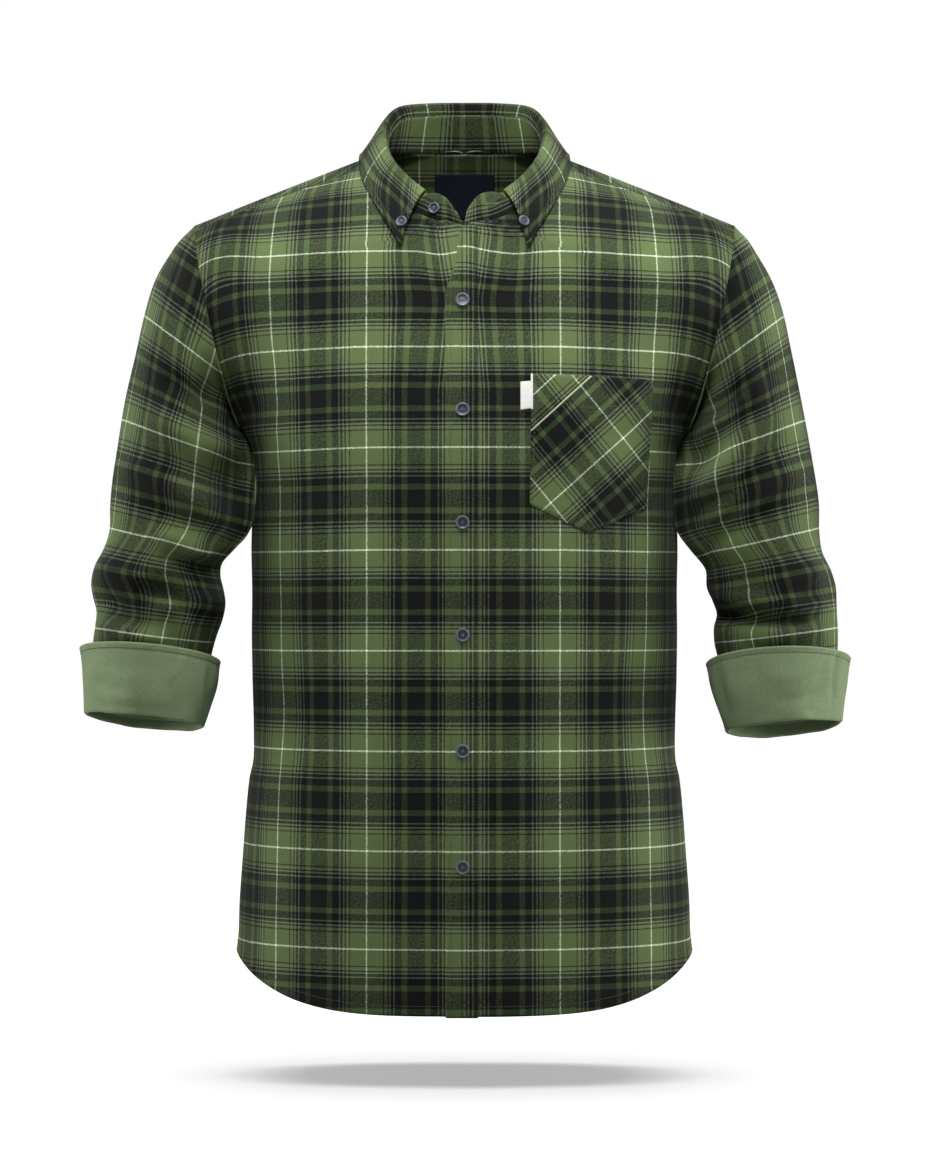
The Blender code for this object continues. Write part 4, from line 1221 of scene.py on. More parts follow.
sew("yoke_stitches", seam_rows, GREEN_THREAD)

# %% [markdown]
# ## Sleeves
#
# A sleeve is a tube that hangs nearly straight, with a little bend at the elbow. The
# cloth is dragged into slanting creases at the armpit and gathers in soft rolls above the
# turned-up cuff. A tube could be bent by an armature; rings lofted downwards are chosen,
# because each ring can be set to the outline that the picture shows. Its check is charted
# from the heights of its white lines, and its folds from a table, as on the fronts.

# %% Rings of the sleeves
# outermost point, innermost point, half depth and how far the front is raised
Ring = namedtuple("Ring", "ox oy oz ix iy iz deep lift")
SLEEVE_RIGHT = (
    Ring(246.0, 5, -71, 188.4, 0, -233, 64.0, 0),
    Ring(262.0, 1, -98, 185.8, -13, -240, 64.0, 0),
    Ring(273.0, -3, -132, 183.4, -25, -247, 64.0, 0),
    Ring(281.0, -7, -170, 182.0, -30, -257, 63.0, 0),
    Ring(288.0, -11, -205, 180.6, -34, -268, 61.0, 0),
    Ring(293.5, -15, -237, 179.8, -36, -280, 59.5, 0),
    Ring(297.5, -19, -265, 179.4, -37, -292, 58.0, 0),
    Ring(299.3, -22, -290, 180.2, -38, -303, 57.0, 1),
    Ring(299.6, -25, -311, 185.8, -38, -314, 56.0, 2),
    Ring(304.5, -28, -327, 196.5, -38, -326, 55.0, 3),
    Ring(311.5, -30, -341, 204.8, -38, -337, 54.0, 4),
    Ring(314.2, -31, -355, 206.0, -38, -349, 53.5, 5),
    Ring(312.6, -33, -367, 203.2, -38, -361, 53.0, 6),
    Ring(309.8, -35, -379, 201.4, -39, -373, 53.0, 7),
    Ring(310.8, -37, -391, 203.6, -40, -386, 52.0, 8),
    Ring(313.0, -39, -404, 208.5, -41, -400, 51.0, 8),
    Ring(314.0, -41, -422, 213.0, -42, -418, 50.0, 8),
    Ring(315.0, -43, -444, 215.5, -44, -444, 50.5, 7),
    Ring(315.6, -45, -461, 223.0, -46, -470, 49.5, 6),
)
SLEEVE_LEFT = (
    Ring(244.5, 5, -70, 188.4, 0, -233, 64.0, 0),
    Ring(259.5, 1, -96, 185.8, -13, -240, 64.0, 0),
    Ring(270.5, -3, -127, 183.4, -25, -247, 64.0, 0),
    Ring(278.5, -7, -163, 182.0, -30, -257, 63.0, 0),
    Ring(284.8, -11, -199, 180.6, -34, -268, 61.0, 0),
    Ring(291.0, -15, -232, 179.8, -36, -280, 59.5, 0),
    Ring(296.3, -19, -262, 179.2, -37, -292, 58.0, 0),
    Ring(299.6, -22, -287, 179.6, -38, -303, 57.0, 1),
    Ring(299.4, -25, -311, 182.6, -38, -313, 56.0, 2),
    Ring(301.6, -28, -329, 193.0, -38, -327, 55.0, 3),
    Ring(308.4, -30, -344, 203.0, -38, -342, 54.0, 4),
    Ring(312.6, -31, -358, 204.4, -38, -355, 53.5, 5),
    Ring(313.2, -33, -371, 209.0, -38, -369, 53.0, 6),
    Ring(313.4, -35, -382, 212.6, -39, -381, 53.0, 7),
    Ring(314.0, -37, -393, 210.2, -40, -392, 52.0, 8),
    Ring(314.2, -39, -406, 210.4, -41, -405, 51.0, 9),
    Ring(313.6, -41, -424, 213.6, -42, -421, 50.0, 9),
    Ring(313.2, -43, -446, 216.2, -44, -447, 50.5, 8),
    Ring(313.2, -45, -465, 223.4, -46, -473, 49.5, 7),
)
print(len(SLEEVE_RIGHT), "and", len(SLEEVE_LEFT), "rings")


# %% Tubes through rings
def ring_controls(ring, bow=0.0):
    """The middle of a ring, the way out of it and the way to its front."""
    outer = np.array([ring.ox, ring.oy, ring.oz])
    inner = np.array([ring.ix, ring.iy, ring.iz])
    return np.concatenate(
        [(outer + inner) / 2, (outer - inner) / 2, [bow, -ring.deep, ring.lift]]
    )


def tube(rings, ring, degrees):
    """A point on rings lofted downwards, on the +X side. 0 degrees is the outermost point."""
    phi = np.radians(np.asarray(degrees, float))[..., None]
    at = flow(rings, ring)
    centre, out, front = at[..., 0:3], at[..., 3:6], at[..., 6:9]
    bowed = np.sin(phi) * front
    bowed[..., 0] = np.abs(np.sin(phi[..., 0])) * front[..., 0]
    return centre + np.cos(phi) * out + bowed

# %% White lines and folds of the sleeves
Weft = namedtuple("Weft", "outer inner")  # height of a white line at x = 290 and x = 205
SLEEVE_WEFT = (
    Weft(105, 15),
    Weft(-2, -68),
    Weft(-115, -178),
    Weft(-217, -249),
    Weft(-311, -330),
    Weft(-395.5, -406),
    Weft(-478, -485),
)
SLEEVE_WHITE = {-1: 102.0, 1: 116.0}  # where a lengthwise white line lies, in degrees
FOLDS_SLEEVE = {
    -1: (
        Fold(252, -182, 206, -202, 10, -3.4, 3),
        Fold(262, -216, 198, -248, 11, 3.6, 2),
        Fold(258, -246, 200, -276, 9, -2.6, 3),
        Fold(288, -256, 214, -300, 10, 2.2, -4),
        Fold(270, -290, 200, -322, 9, -2.8, -3),
        Fold(262, -314, 202, -346, 8, 3.0, -3),
        Fold(246, -336, 200, -342, 7, -4.0, 2),
        Fold(268, -354, 218, -378, 8, -5.4, 4),
        Fold(304, -342, 252, -352, 9, 3.4, 3),
        Fold(306, -366, 250, -392, 8, -3.8, 5),
        Fold(258, -372, 204, -372, 8, 4.4, 3),
        Fold(306, -390, 250, -404, 8, 2.8, 2),
    ),
    1: (
        Fold(250, -184, 214, -224, 9, 3.6, 4),
        Fold(236, -186, 206, -216, 7, -4.4, 3),
        Fold(256, -204, 190, -290, 9, 6.0, 8),
        Fold(234, -202, 180, -262, 8, -7.0, 8),
        Fold(268, -236, 212, -286, 9, -2.4, -4),
        Fold(286, -262, 206, -306, 10, 2.4, -4),
        Fold(262, -288, 200, -330, 9, -3.2, -3),
        Fold(298, -344, 250, -362, 9, 2.8, 3),
        Fold(282, -372, 210, -366, 8, 4.4, 3),
        Fold(288, -385, 208, -383, 6, -6.0, 2),
        Fold(300, -370, 266, -382, 5, 2.2, 1),
        Fold(298, -394, 236, -400, 8, 3.4, 2),
    ),
}
ARMPIT = {  # where the cloth sinks back between the arm and the side
    -1: (
        Fold(214, -170, 188, -300, 20, 34.0, 4),
        Fold(200, -250, 186, -345, 16, 24.0, 3),
    ),
    1: (
        Fold(206, -166, 184, -262, 20, 34.0, 4),
        Fold(194, -240, 184, -336, 16, 24.0, 2),
    ),
}
FOLD_STRENGTH = 2.4
FOLD_LIMIT = 10.0  # no fold rises or sinks further than this
SLEEVE_AXIS = np.array([0.22, -0.14, -0.965])


def weft_on_sleeve(x, z):
    """Weft places: the table's white lines, and the cloth shared out evenly between."""
    at = np.linspace(0, len(SLEEVE_WEFT) - 1, 241)
    lines = flow(np.array(SLEEVE_WEFT, float), at)
    share = (x - 205) / 85
    height = lines[:, 1][:, None, None] * (1 - share) + lines[:, 0][:, None, None] * share
    count = (height > z[None]).sum(axis=0)
    upper = np.take_along_axis(height, np.clip(count - 1, 0, 240)[None], 0)[0]
    lower = np.take_along_axis(height, np.clip(count, 0, 240)[None], 0)[0]
    part = np.clip((upper - z) / np.maximum(upper - lower, 1e-6), 0, 1)
    return -(count - 1 + part) * (at[1] - at[0]) * SETT_MM


def warp_on_sleeve(smooth, white):
    """Warp places: the length round the sleeve, square to it, from a white line."""
    step = np.diff(smooth, axis=1)
    step -= (step @ SLEEVE_AXIS)[..., None] * SLEEVE_AXIS
    length = np.linalg.norm(step, axis=-1)
    warp = np.concatenate([np.zeros((len(smooth), 1)), np.cumsum(length, 1)], 1)
    zero = np.array([np.interp(white, degrees, line) for line in warp])
    return warp - zero[:, None]


# %% Creases of a sleeve
degrees = np.linspace(0, 360, 121)
around = np.radians(degrees)


def crease_sleeve(side, rings, smooth):
    """The sleeve's points with its folds, pressed in beside the body."""
    x, z = smooth[..., 0], smooth[..., 2]
    normal = grid_normals(smooth, closed=True)
    outward = smooth - smooth[:, :-1].mean(axis=1, keepdims=True)
    normal *= np.sign((normal * outward).sum(-1, keepdims=True))
    face = np.sin(around)[None, :]
    seam = ease(rings, 0, 1.4)[:, None]
    front = FOLD_STRENGTH * folds_at(x, z, FOLDS_SLEEVE[side]) * ease(face, -0.1, 0.45)
    behind = folds_at(x + 8, z - 12, FOLDS_SLEEVE[-side]) * ease(-face, -0.1, 0.45)
    arm = np.broadcast_to(face * 50, x.shape)
    slow = waviness(arm + 60 * side, z, 1.8)
    lift = (FOLD_LIMIT * np.tanh(front / FOLD_LIMIT) + behind + slow) * seam
    # beside the body the cloth is pressed between arm and side: no trough there
    beside = ease(-np.cos(around), 0.72, 0.98)[None, :] * ease(z, -352, -322)
    press = 2.6 + 4.2 * np.exp(-(((z + 250) / 26) ** 2))
    lift = lift * (1 - beside) + press * beside * seam
    # a soft ease of the sleeve head just past the seam
    head = 1.1 * np.exp(-(((rings - 0.7) / 0.5) ** 2))[:, None] * ease(np.cos(around), -0.2, 0.8)
    grid = smooth + normal * (lift + head)[..., None]
    grid[..., 1] += folds_at(x, z, ARMPIT[side]) * ease(face, -0.1, 0.4) * seam
    grid[:, -1] = grid[:, 0]
    return grid


# %% Right and left sleeve
armhole_ring = Ring(*ARMHOLE_TOP, *ARMHOLE_BOTTOM, ARMHOLE_DEPTH, 0)
for side, name, table in ((-1, "sleeve_right", SLEEVE_RIGHT), (1, "sleeve_left", SLEEVE_LEFT)):
    controls = np.array(
        [ring_controls(armhole_ring, ARMHOLE_BOW)] + [ring_controls(r) for r in table]
    )
    rings = np.concatenate([np.linspace(0, 2, 26)[:-1], np.linspace(2, len(controls) - 1, 130)])
    smooth = tube(controls, *mesh_of(rings, degrees))
    smooth[:, -1] = smooth[:, 0]
    weft = weft_on_sleeve(smooth[..., 0], smooth[..., 2])
    threads = np.stack([warp_on_sleeve(smooth, SLEEVE_WHITE[side]) * side, weft], -1)
    grid = crease_sleeve(side, rings, smooth)
    grid[..., 0] *= side
    cloth = Cloth(name + "_cloth")
    cloth.grid(grid, threads, turned=side < 0)
    obj = cloth.build(CLOTH, CHECKED, REVERSE)
    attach(obj, "root")
    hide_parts(name + "_upper", name + "_lower")

# %% [markdown]
# ## Cuffs
#
# The sleeve ends are turned up once, so the cloth's plain reverse shows outside. The
# lower edge is a soft roll that goes back up inside, and the upper edge is hemmed. A cuff
# could be part of the sleeve's mesh; it is a grid of its own, because it is a separate
# solid and its colour changes at a clean edge. The grid runs from the hem down the
# outside, round the roll and up the inside.

# %% Rings and dents of the cuffs
CUFF_RIGHT = (
    Ring(323.4, -40, -411.0, 205.6, -41, -421.5, 58.0, 11),
    Ring(321.4, -42, -430.0, 208.0, -43, -440.0, 57.5, 9),
    Ring(320.4, -44, -448.0, 213.0, -45, -457.0, 56.5, 8),
    Ring(319.6, -46, -463.5, 218.6, -47, -474.0, 55.0, 6),
)
CUFF_LEFT = (
    Ring(324.6, -40, -420.0, 203.6, -41, -423.5, 58.0, 14),
    Ring(322.6, -42, -436.0, 206.6, -43, -440.0, 57.5, 12),
    Ring(319.6, -44, -454.0, 212.0, -45, -459.0, 56.5, 9),
    Ring(317.4, -46, -471.0, 218.6, -47, -478.0, 55.0, 7),
)
CUFF_DENTS = {
    -1: (
        Fold(213, -424, 217, -474, 3.0, -2.2, 0),
        Fold(218, -424, 222, -476, 3.0, 1.2, 0),
        Fold(234, -412, 247, -438, 3.5, 1.1, -2),
        Fold(312, -446, 270, -452, 5, 0.9, 2),
        Fold(300, -456, 240, -462, 6, -1.2, 3),
        Fold(316, -428, 262, -436, 8, 0.9, 2),
        Fold(250, -466, 238, -482, 5, -1.8, 1),
        Fold(282, -462, 274, -480, 6, 1.4, 1),
        Fold(304, -432, 299, -474, 7, -1.2, 1),
    ),
    1: (
        Fold(240.4, -416, 241.8, -482, 1.3, -0.9, 0),
        Fold(204, -424, 215, -466, 3.0, 1.8, 0),
        Fold(212, -424, 221, -470, 3.5, -2.4, 0),
        Fold(217, -448, 217, -480, 3.0, 1.4, 0),
        Fold(313, -408, 306, -456, 2.6, -3.4, 0),
        Fold(308, -408, 301, -450, 4.0, 1.2, 0),
        Fold(296, -446, 256, -452, 5, -1.0, 3),
        Fold(286, -462, 280, -482, 6, 1.6, 1),
        Fold(268, -466, 262, -484, 4, -1.2, 1),
        Fold(290, -428, 246, -434, 7, 0.8, 3),
    ),
}
CUFF_STITCH = 4.6  # from the upper edge to its row of stitches
ROLL = 2.1  # radius of the lower edge
print(len(CUFF_DENTS[-1]), "and", len(CUFF_DENTS[1]), "dents")


# %% Faces of a cuff
def cuff_outside(side, controls, rings):
    """The outer face with its dents and hem, and the directions away from its middle."""
    outer = tube(controls, *mesh_of(rings, degrees))
    x, z = outer[..., 0], outer[..., 2]
    away = outer - outer[:, :-1].mean(axis=1, keepdims=True)
    away[..., 2] = 0
    away /= np.linalg.norm(away, axis=-1)[..., None]
    facing = np.sin(around)[None, :]
    dents = folds_at(x, z, CUFF_DENTS[side]) * ease(facing, -0.1, 0.4)
    dents += folds_at(x, z, CUFF_DENTS[-side]) * ease(-facing, -0.1, 0.4)
    slow = waviness(np.broadcast_to(facing * 60 + 30 * side, x.shape), z * 2, 1.6)
    dents += slow * ease(rings, 0, 1)[:, None]
    hemmed = 0.5 * np.exp(-((rings[:, None] / 0.12) ** 2))
    hemmed = hemmed - 0.5 * np.exp(-(((rings[:, None] - 0.235) / 0.05) ** 2))
    outer = outer + away * (dents + hemmed)[..., None]
    # at the back the edge hangs lower, so the front shows the inside of the turn-up
    outer[..., 2] -= 2.6 * ease(-facing, 0, 1) * ease(rings, 1, 3)[:, None]
    return outer, away


def cuff_roll(side, last, away):
    """The lower edge: half a turn, a little uneven."""
    wave = 1.5 * np.sin(around * 5 + side) + 0.6 * np.sin(around * 11)
    roll = []
    for turn in np.linspace(0, math.pi, 9)[1:]:
        back_in = -away * ROLL * (1 - math.cos(turn))
        down = np.array([0, 0, -1.0]) * ROLL * math.sin(turn)
        uneven = np.array([0, 0, 0.5]) * wave[:, None] * math.sin(turn / 2) ** 2
        roll.append(last + back_in + down + uneven)
    return roll


def cuff_inside(controls, start, away):
    """From the roll back up inside the sleeve's end."""
    lowest = tube(controls, np.full(len(degrees), 3.0), degrees)
    inside = []
    for t in np.linspace(0, 1, 8)[1:]:
        rise = tube(controls, np.full(len(degrees), 3 - 1.9 * t), degrees) - lowest
        inside.append(start + rise - away * 0.6 * t)
    return inside


# %% Right and left cuff
for side, name, table in ((-1, "cuff_right", CUFF_RIGHT), (1, "cuff_left", CUFF_LEFT)):
    controls = np.array([ring_controls(r) for r in table])
    outer, away = cuff_outside(side, controls, np.linspace(0, 3, 34))
    roll = cuff_roll(side, outer[-1], away[-1])
    inside = cuff_inside(controls, roll[-1], away[-1])
    grid = np.concatenate([outer, np.array(roll), np.array(inside)])
    grid[:, -1] = grid[:, 0]
    threads = np.stack([arcs(grid, 1), arcs(grid, 0)], -1)
    grid[..., 0] *= side
    cloth = Cloth(name + "_cloth")
    cloth.grid(grid, threads, turned=side < 0)
    obj = cloth.build(1.2, REVERSE, REVERSE)
    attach(obj, "root")
    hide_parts(name)
    down = len(grid) - 1 - from_end(grid[::-1], CUFF_STITCH)
    row = on_grid(grid, side < 0, down, np.arange(grid.shape[1]), 0.1)
    sewn = sew(name + "_stitches", [row], SAGE_THREAD, thick=0.85)

# %% [markdown]
# ## Collar stand
#
# The stand is a band that rises from the neckline, open at the front with one button. It
# could be a strip bent round; here its lower edge is the body's own neck edge and its
# upper edge comes from a table, so that it meets the yoke, the fronts and the leaf.

# %% Table of the collar
# the stand's top, the leaf's fold and the leaf's edge, from the middle of the back round
Collar = namedtuple("Collar", "tx ty tz fx fy fz ex ey ez bow")
COLLAR = (
    Collar(0.0, 50.0, 46.5, 0.0, 54.0, 57.4, 0.0, 71.0, 5.0, 2.0),
    Collar(28.0, 47.0, 46.0, 29.8, 51.0, 56.8, 34.0, 68.0, 6.0, 2.0),
    Collar(52.0, 36.5, 42.0, 55.4, 40.5, 53.0, 64.0, 53.0, 8.6, 2.0),
    Collar(62.5, 21.0, 31.0, 66.5, 23.5, 41.6, 81.0, 29.0, 10.4, 1.5),
    Collar(65.4, 4.5, 17.5, 69.3, 5.5, 27.4, 88.2, 1.0, 8.2, 1.0),
    Collar(62.6, -15.0, 3.5, 66.0, -15.5, 12.8, 87.8, -32.0, -6.6, 2.0),
    Collar(55.8, -34.5, -10.0, 58.7, -36.0, -1.6, 82.4, -54.5, -22.6, 3.5),
    Collar(45.0, -55.0, -23.5, 46.0, -57.5, -16.4, 66.6, -82.5, -50.6, 5.0),
    Collar(33.0, -72.5, -33.5, 33.6, -74.5, -27.6, 52.6, -96.5, -74.0, 4.0),
)
LEAF_END = 8.0
Tongue = namedtuple("Tongue", "x y z")
TONGUE = (Tongue(23.0, -80.5, -31.0), Tongue(14.6, -85.0, -36.5), Tongue(6.4, -88.0, -49.0))
INNER_WARP = 33.6
print(len(COLLAR), "stations on each half of the collar")

# %% Collar stand
STAND_THICK = 1.5
STAND_RISE = 26.2  # the weft is counted from this height, where the leaf begins
STAND_WEFT = 1.8
STAND_STITCH = 2.4
neck_back = [body_point(1.0, r, 0.0) for r in range(NECK_ROWS - 1, 0, -1)]
neck_front = [body_point(-1.0, r, 0.0) for r in range(NECK_ROWS)]
neck_half = neck_back + neck_front
neck_half.insert(-1, (neck_half[-2] + neck_half[-1]) / 2)
collar = np.array(COLLAR)
stand_at = [0.0, 1.0, 2.0, 3.0, 4.0, 4.9, 5.7, 6.7, LEAF_END]
stand_top = [flow(collar[:, 0:3], s) for s in stand_at] + [np.array(t) for t in TONGUE]
# where the stand comes out from under the leaf its edge runs on smoothly
stand_top[-4][2] += 4.4
stand_top[-5][2] += 1.5
low_table, top_table = np.array(neck_half), np.array(stand_top)
columns = np.linspace(0, len(low_table) - 1, 96)
cloth = Cloth("collar_stand_cloth")
edge_rows = []
shares = np.linspace(0, 1, 14)[:, None, None]
for side in (-1, 1):
    low = lap(flow(low_table, columns), side)
    high = flow(top_table, columns) * np.array([side, 1, 1])
    if side > 0:  # the left end stands up fuller than the right one
        high += ease(columns, columns[-1] - 3.4, columns[-1])[:, None] * np.array([-3.6, 0, 4.2])
    grid = low[None] + (high - low)[None] * shares
    warp = arcs(grid[-1:], 1).repeat(len(grid), 0) * side
    threads = np.stack([warp, STAND_WEFT + np.abs(STAND_RISE - arcs(grid, 0))], -1)
    cloth.grid(grid, threads, turned=side > 0)
    rows_up = from_end(grid, STAND_STITCH)
    edge_rows.append(on_grid(grid, side > 0, rows_up, np.arange(grid.shape[1]), 0.15)[:-2])
stand = cloth.build(STAND_THICK, CHECKED, CHECKED, inside_shift=(INNER_WARP, 0.0))
stand_tree = cloth.tree
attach(stand, "root")
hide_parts("collar_stand")
sew("stand_stitches", edge_rows, GREEN_THREAD)

# %% [markdown]
# ## Collar leaf
#
# The leaf folds over the stand's top edge and comes down to two points, each buttoned to
# the front. It could be cut flat and folded; each rung of its grid is drawn as the folded
# section instead, because the fold then stays round and even from back to front. Its
# edges are turned in and stitched, which leaves a firm, slightly raised band.

# %% Sections of the leaf
FALL_STEPS = (0.12, 0.4, 0.7, 1.0)
LEAF_THICK = 1.5


def leaf_rung(station):
    """The leaf's section: up from the stand, over the fold and down to its outer edge."""
    c = Collar(*flow(collar, station))
    top = np.array([c.tx, c.ty, c.tz])
    crest = np.array([c.fx, c.fy, c.fz])
    edge = np.array([c.ex, c.ey, c.ez])
    out = edge - top
    out[2] = 0
    out = out / np.linalg.norm(out)
    rise = crest - top
    clear = rise / np.linalg.norm(rise)
    rung = [top - out * 0.8 + clear, top + rise * 0.7 - out * 1.6, crest]
    for t in FALL_STEPS:
        roll = c.bow * 4 * t * (1 - t)
        rung.append(crest + (edge - crest) * t + out * (roll + 1.6 * (1 - t)))
    return np.array(rung)


# %% Collar leaf
LEAF_STITCH = 5.6  # from the edges to their row of stitches
LEAF_LIFT = 0.95
stations = np.linspace(0, LEAF_END, 104)
down = np.linspace(0, 6, 61)
half_leaf = np.stack([flow(leaf_rung(s), down) for s in stations], axis=1)
CREST = 20  # the row of the fold
LEAF_SHEAR = 26.0  # how far the check swings out from the fold to the outer edge
WHITE_ON_FOLD = 130.3  # from the middle of the back to a white line, along the fold
cloth = Cloth("collar_leaf_cloth")
edge_rows = []
for side in (-1, 1):
    grid = half_leaf * np.array([side, 1, 1])
    fall = arcs(grid, 0)
    fall -= fall[CREST]
    # the outer edge and the front edge are turned in and stitched: a low, firm band
    to_edge = np.minimum(fall[-1][None, :] - fall, arcs(grid, 1)[:, -1:] - arcs(grid, 1))
    band = 0.45 * np.exp(-((to_edge / 1.6) ** 2))
    band = band - 0.40 * np.exp(-(((to_edge - LEAF_STITCH) / 0.9) ** 2))
    normal = grid_normals(grid) * (-1 if side < 0 else 1)
    grid = grid + normal * (band * ease(fall, 2, 9))[..., None]
    crest_arc = arcs(grid[CREST : CREST + 1], 1)
    swing = np.clip(fall / 42, -0.2, 1.2) * LEAF_SHEAR * ease(stations, 1.5, 5)[None, :]
    warp = crest_arc - swing - WHITE_ON_FOLD
    threads = np.stack([warp * side, fall + 5.5], -1)
    cloth.grid(grid[CREST:], threads[CREST:], turned=side < 0)
    # inside the neck the cloth carries the stand's threads up to the fold
    within = crest_arc.repeat(CREST + 1, 0) * side + INNER_WARP
    within = np.stack([within, fall[: CREST + 1] + 32.0], -1)
    cloth.grid(grid[: CREST + 1], within, turned=side < 0)
    rows_low = from_end(grid, LEAF_STITCH)
    ahead = from_end(grid.swapaxes(0, 1), LEAF_STITCH)
    corner = int(ahead[-5])
    along_edge = on_grid(grid, side < 0, rows_low[:corner], np.arange(corner), LEAF_LIFT)
    up = np.arange(int(rows_low[corner]), CREST + 2, -1)
    up_front = on_grid(grid, side < 0, up, ahead[up], LEAF_LIFT)
    edge_rows.append(np.concatenate([along_edge, up_front]))
leaf = cloth.build(LEAF_THICK, CHECKED, CHECKED, offset=LEAF_THICK / 2)
leaf_tree = cloth.tree
sew("leaf_stitches", edge_rows, GREEN_THREAD)
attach(leaf, "root")
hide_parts("collar_leaf")

# %% [markdown]
# ## Placket
#
# The placket is a strip sewn on the left front's edge, with a row of stitches near each
# side. It lies on the panel, so its points are the panel's own, moved out a little. The
# stitches pull it in, and between them it puffs and puckers: a few waves in numbers are
# enough for that, where a simulation would be slow and never twice the same.

# %% Placket
PLACKET_FOLD = 11.3
PLACKET_WIDE = 26.8
PLACKET_COLUMNS = 33
rows_placket = np.linspace(NECK_ROWS - 1, FRONT_LAST, 420)
middle = lap(body_point(-1.0, rows_placket, np.zeros(420)), 1)
free = -np.interp(-middle[:, 2], -opening[:, 0], opening[:, 1])
shares = np.linspace(0, 1, PLACKET_COLUMNS)[None, :]
grid = np.repeat(middle[:, None], PLACKET_COLUMNS, axis=1)
grid[..., 0] = free[:, None] * (1 - shares) + PLACKET_FOLD * shares
left_grid, left_threads = panels[1]
weft_mid = np.interp(-grid[..., 2], -left_grid[:, 0, 2], left_threads[:, 0, 1])
# at the open neck the white line sinks away from the edge, as on the front beneath
neck = np.exp(-(((grid[..., 2] + 82) / 34) ** 2))
weft_mid += 3.6 * neck * (1 - np.exp(-((np.maximum(grid[..., 0], 0) / 14) ** 2)))
threads = np.stack([grid[..., 0] + PLACKET_EDGE + 0.8, weft_mid], -1)
from_edge = np.minimum(shares, 1 - shares) * PLACKET_WIDE
puff = 1.1 + 0.75 * ease(from_edge, 0, 1.6) - 0.55 * np.exp(-(((from_edge - 3.5) / 0.8) ** 2))
down = grid[..., 2]
pucker = np.sin(down / 1.9 + 2 * np.sin(down / 13.0)) * (1 - ease(from_edge, 3, 9))
puff = puff + 0.16 * pucker + 0.25 * np.sin(down / 17.0) * np.sin(down / 41.0)
grid[..., 1] -= puff
grid[..., 2] -= 0.8 * ease(rows_placket, FRONT_LAST - 0.25, FRONT_LAST)[:, None]
cloth = Cloth("placket_cloth")
cloth.grid(grid, threads, turned=True)
placket = cloth.build(1.1, CHECKED, CHECKED)
placket_tree = cloth.tree
lengthwise = np.arange(len(grid))
rows = [on_grid(grid, True, lengthwise, column, 0.15) for column in (4.2, 27.8)]
sew("placket_stitches", rows, GREEN_THREAD)
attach(placket, "root")
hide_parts("front_placket")

# %% [markdown]
# ## Pocket
#
# The pocket is cut on the bias, which turns its check by half a right angle, and it ends
# in a low point. It could be shrink-wrapped on the front. Casting a ray for each point of
# a flat outline is chosen, because the outline then stays true to its corners. Its
# threads are counted from the place where two of its white lines cross.

# %% Places on the panel behind
def behind(tree, x, z, start=-400.0, way=1.0):
    """The point of a panel behind each place of the front view, and its normal."""
    places, normals = np.empty(x.shape + (3,)), np.empty(x.shape + (3,))
    for index in np.ndindex(x.shape):
        begin = Vector((x[index], start, z[index]))
        place, normal, _, _ = tree.ray_cast(begin, Vector((0, way, 0)))
        places[index] = place
        normals[index] = np.array(normal) * (-way if normal[1] > 0 else way)
    return places, normals


# %% Outline of the pocket
POCKET_TOP = ((55.8, -182.5), (156.8, -186.3))
POCKET_LOW = ((54.1, -289.9), (151.0, -293.6))
POCKET_TIP = (106.9, -314.2)
down, across = mesh_of(np.linspace(0, 1, 64), np.linspace(0, 1, 60))
top = np.array(POCKET_TOP[0]) + np.multiply.outer(across, np.subtract(*POCKET_TOP[::-1]))
low = np.array(POCKET_LOW[0]) + np.multiply.outer(across, np.subtract(*POCKET_LOW[::-1]))
point = POCKET_TIP[1] - (POCKET_LOW[0][1] + POCKET_LOW[1][1]) / 2
low[..., 1] += point * (1 - abs(2 * across - 1))
flat = top * (1 - down)[..., None] + low * down[..., None]
places, normals = behind(fronts[1].tree, flat[..., 0], flat[..., 1])
print("pocket", np.round(np.ptp(flat.reshape(-1, 2), axis=0), 1), "mm wide and tall")

# %% Pocket on its threads
BIAS_WARP, BIAS_WEFT = math.radians(39.0), math.radians(42.4)  # the bias cut is a little pulled
WHITE_CROSS = (130.3, -234.7)  # where two white lines cross on the pocket
rx, rz = flat[..., 0] - WHITE_CROSS[0], flat[..., 1] - WHITE_CROSS[1]
along_warp = 1.037 * (rx * math.cos(BIAS_WARP) + rz * math.sin(BIAS_WARP))
along_weft = 1.10 * (rz * math.cos(BIAS_WEFT) - rx * math.sin(BIAS_WEFT))
threads = np.stack([along_warp, along_weft], -1)
edge = np.minimum(np.minimum(across, 1 - across) * 100, np.minimum(down, 1 - down) * 110)
puff = 1.0 + 1.3 * ease(edge, 4, 24) + 0.5 * ease(edge, 0, 1.5)
puff = puff - 0.5 * np.exp(-(((edge - 2.6) / 0.9) ** 2))
hem_line = 0.6 * np.exp(-(((down * 110 - 21.5) / 1.2) ** 2))
open_top = 1.0 * (1 - ease(down, 0, 0.12)) * np.sin(across * math.pi)
grid = places + normals * (puff - hem_line + open_top)[..., None]
cloth = Cloth("pocket_cloth")
cloth.grid(grid, threads, turned=True)
pocket = cloth.build(1.1, POCKET_TWILL, REVERSE)

# %% Stitches of the pocket: round three sides, and the hem at its mouth
down_left, side_low = np.arange(0, 62), np.arange(2, 58)
outline = np.concatenate(
    [
        on_grid(grid, True, down_left, 1.5, 0.15),
        on_grid(grid, True, 61.5, side_low, 0.15),
        on_grid(grid, True, down_left[::-1], 57.5, 0.15),
    ]
)
hem = on_grid(grid, True, 12.3, np.arange(1, 59), 0.15)
sew("pocket_stitches", [outline, hem], GREEN_THREAD)
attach(pocket, "root")
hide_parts("chest_pocket")

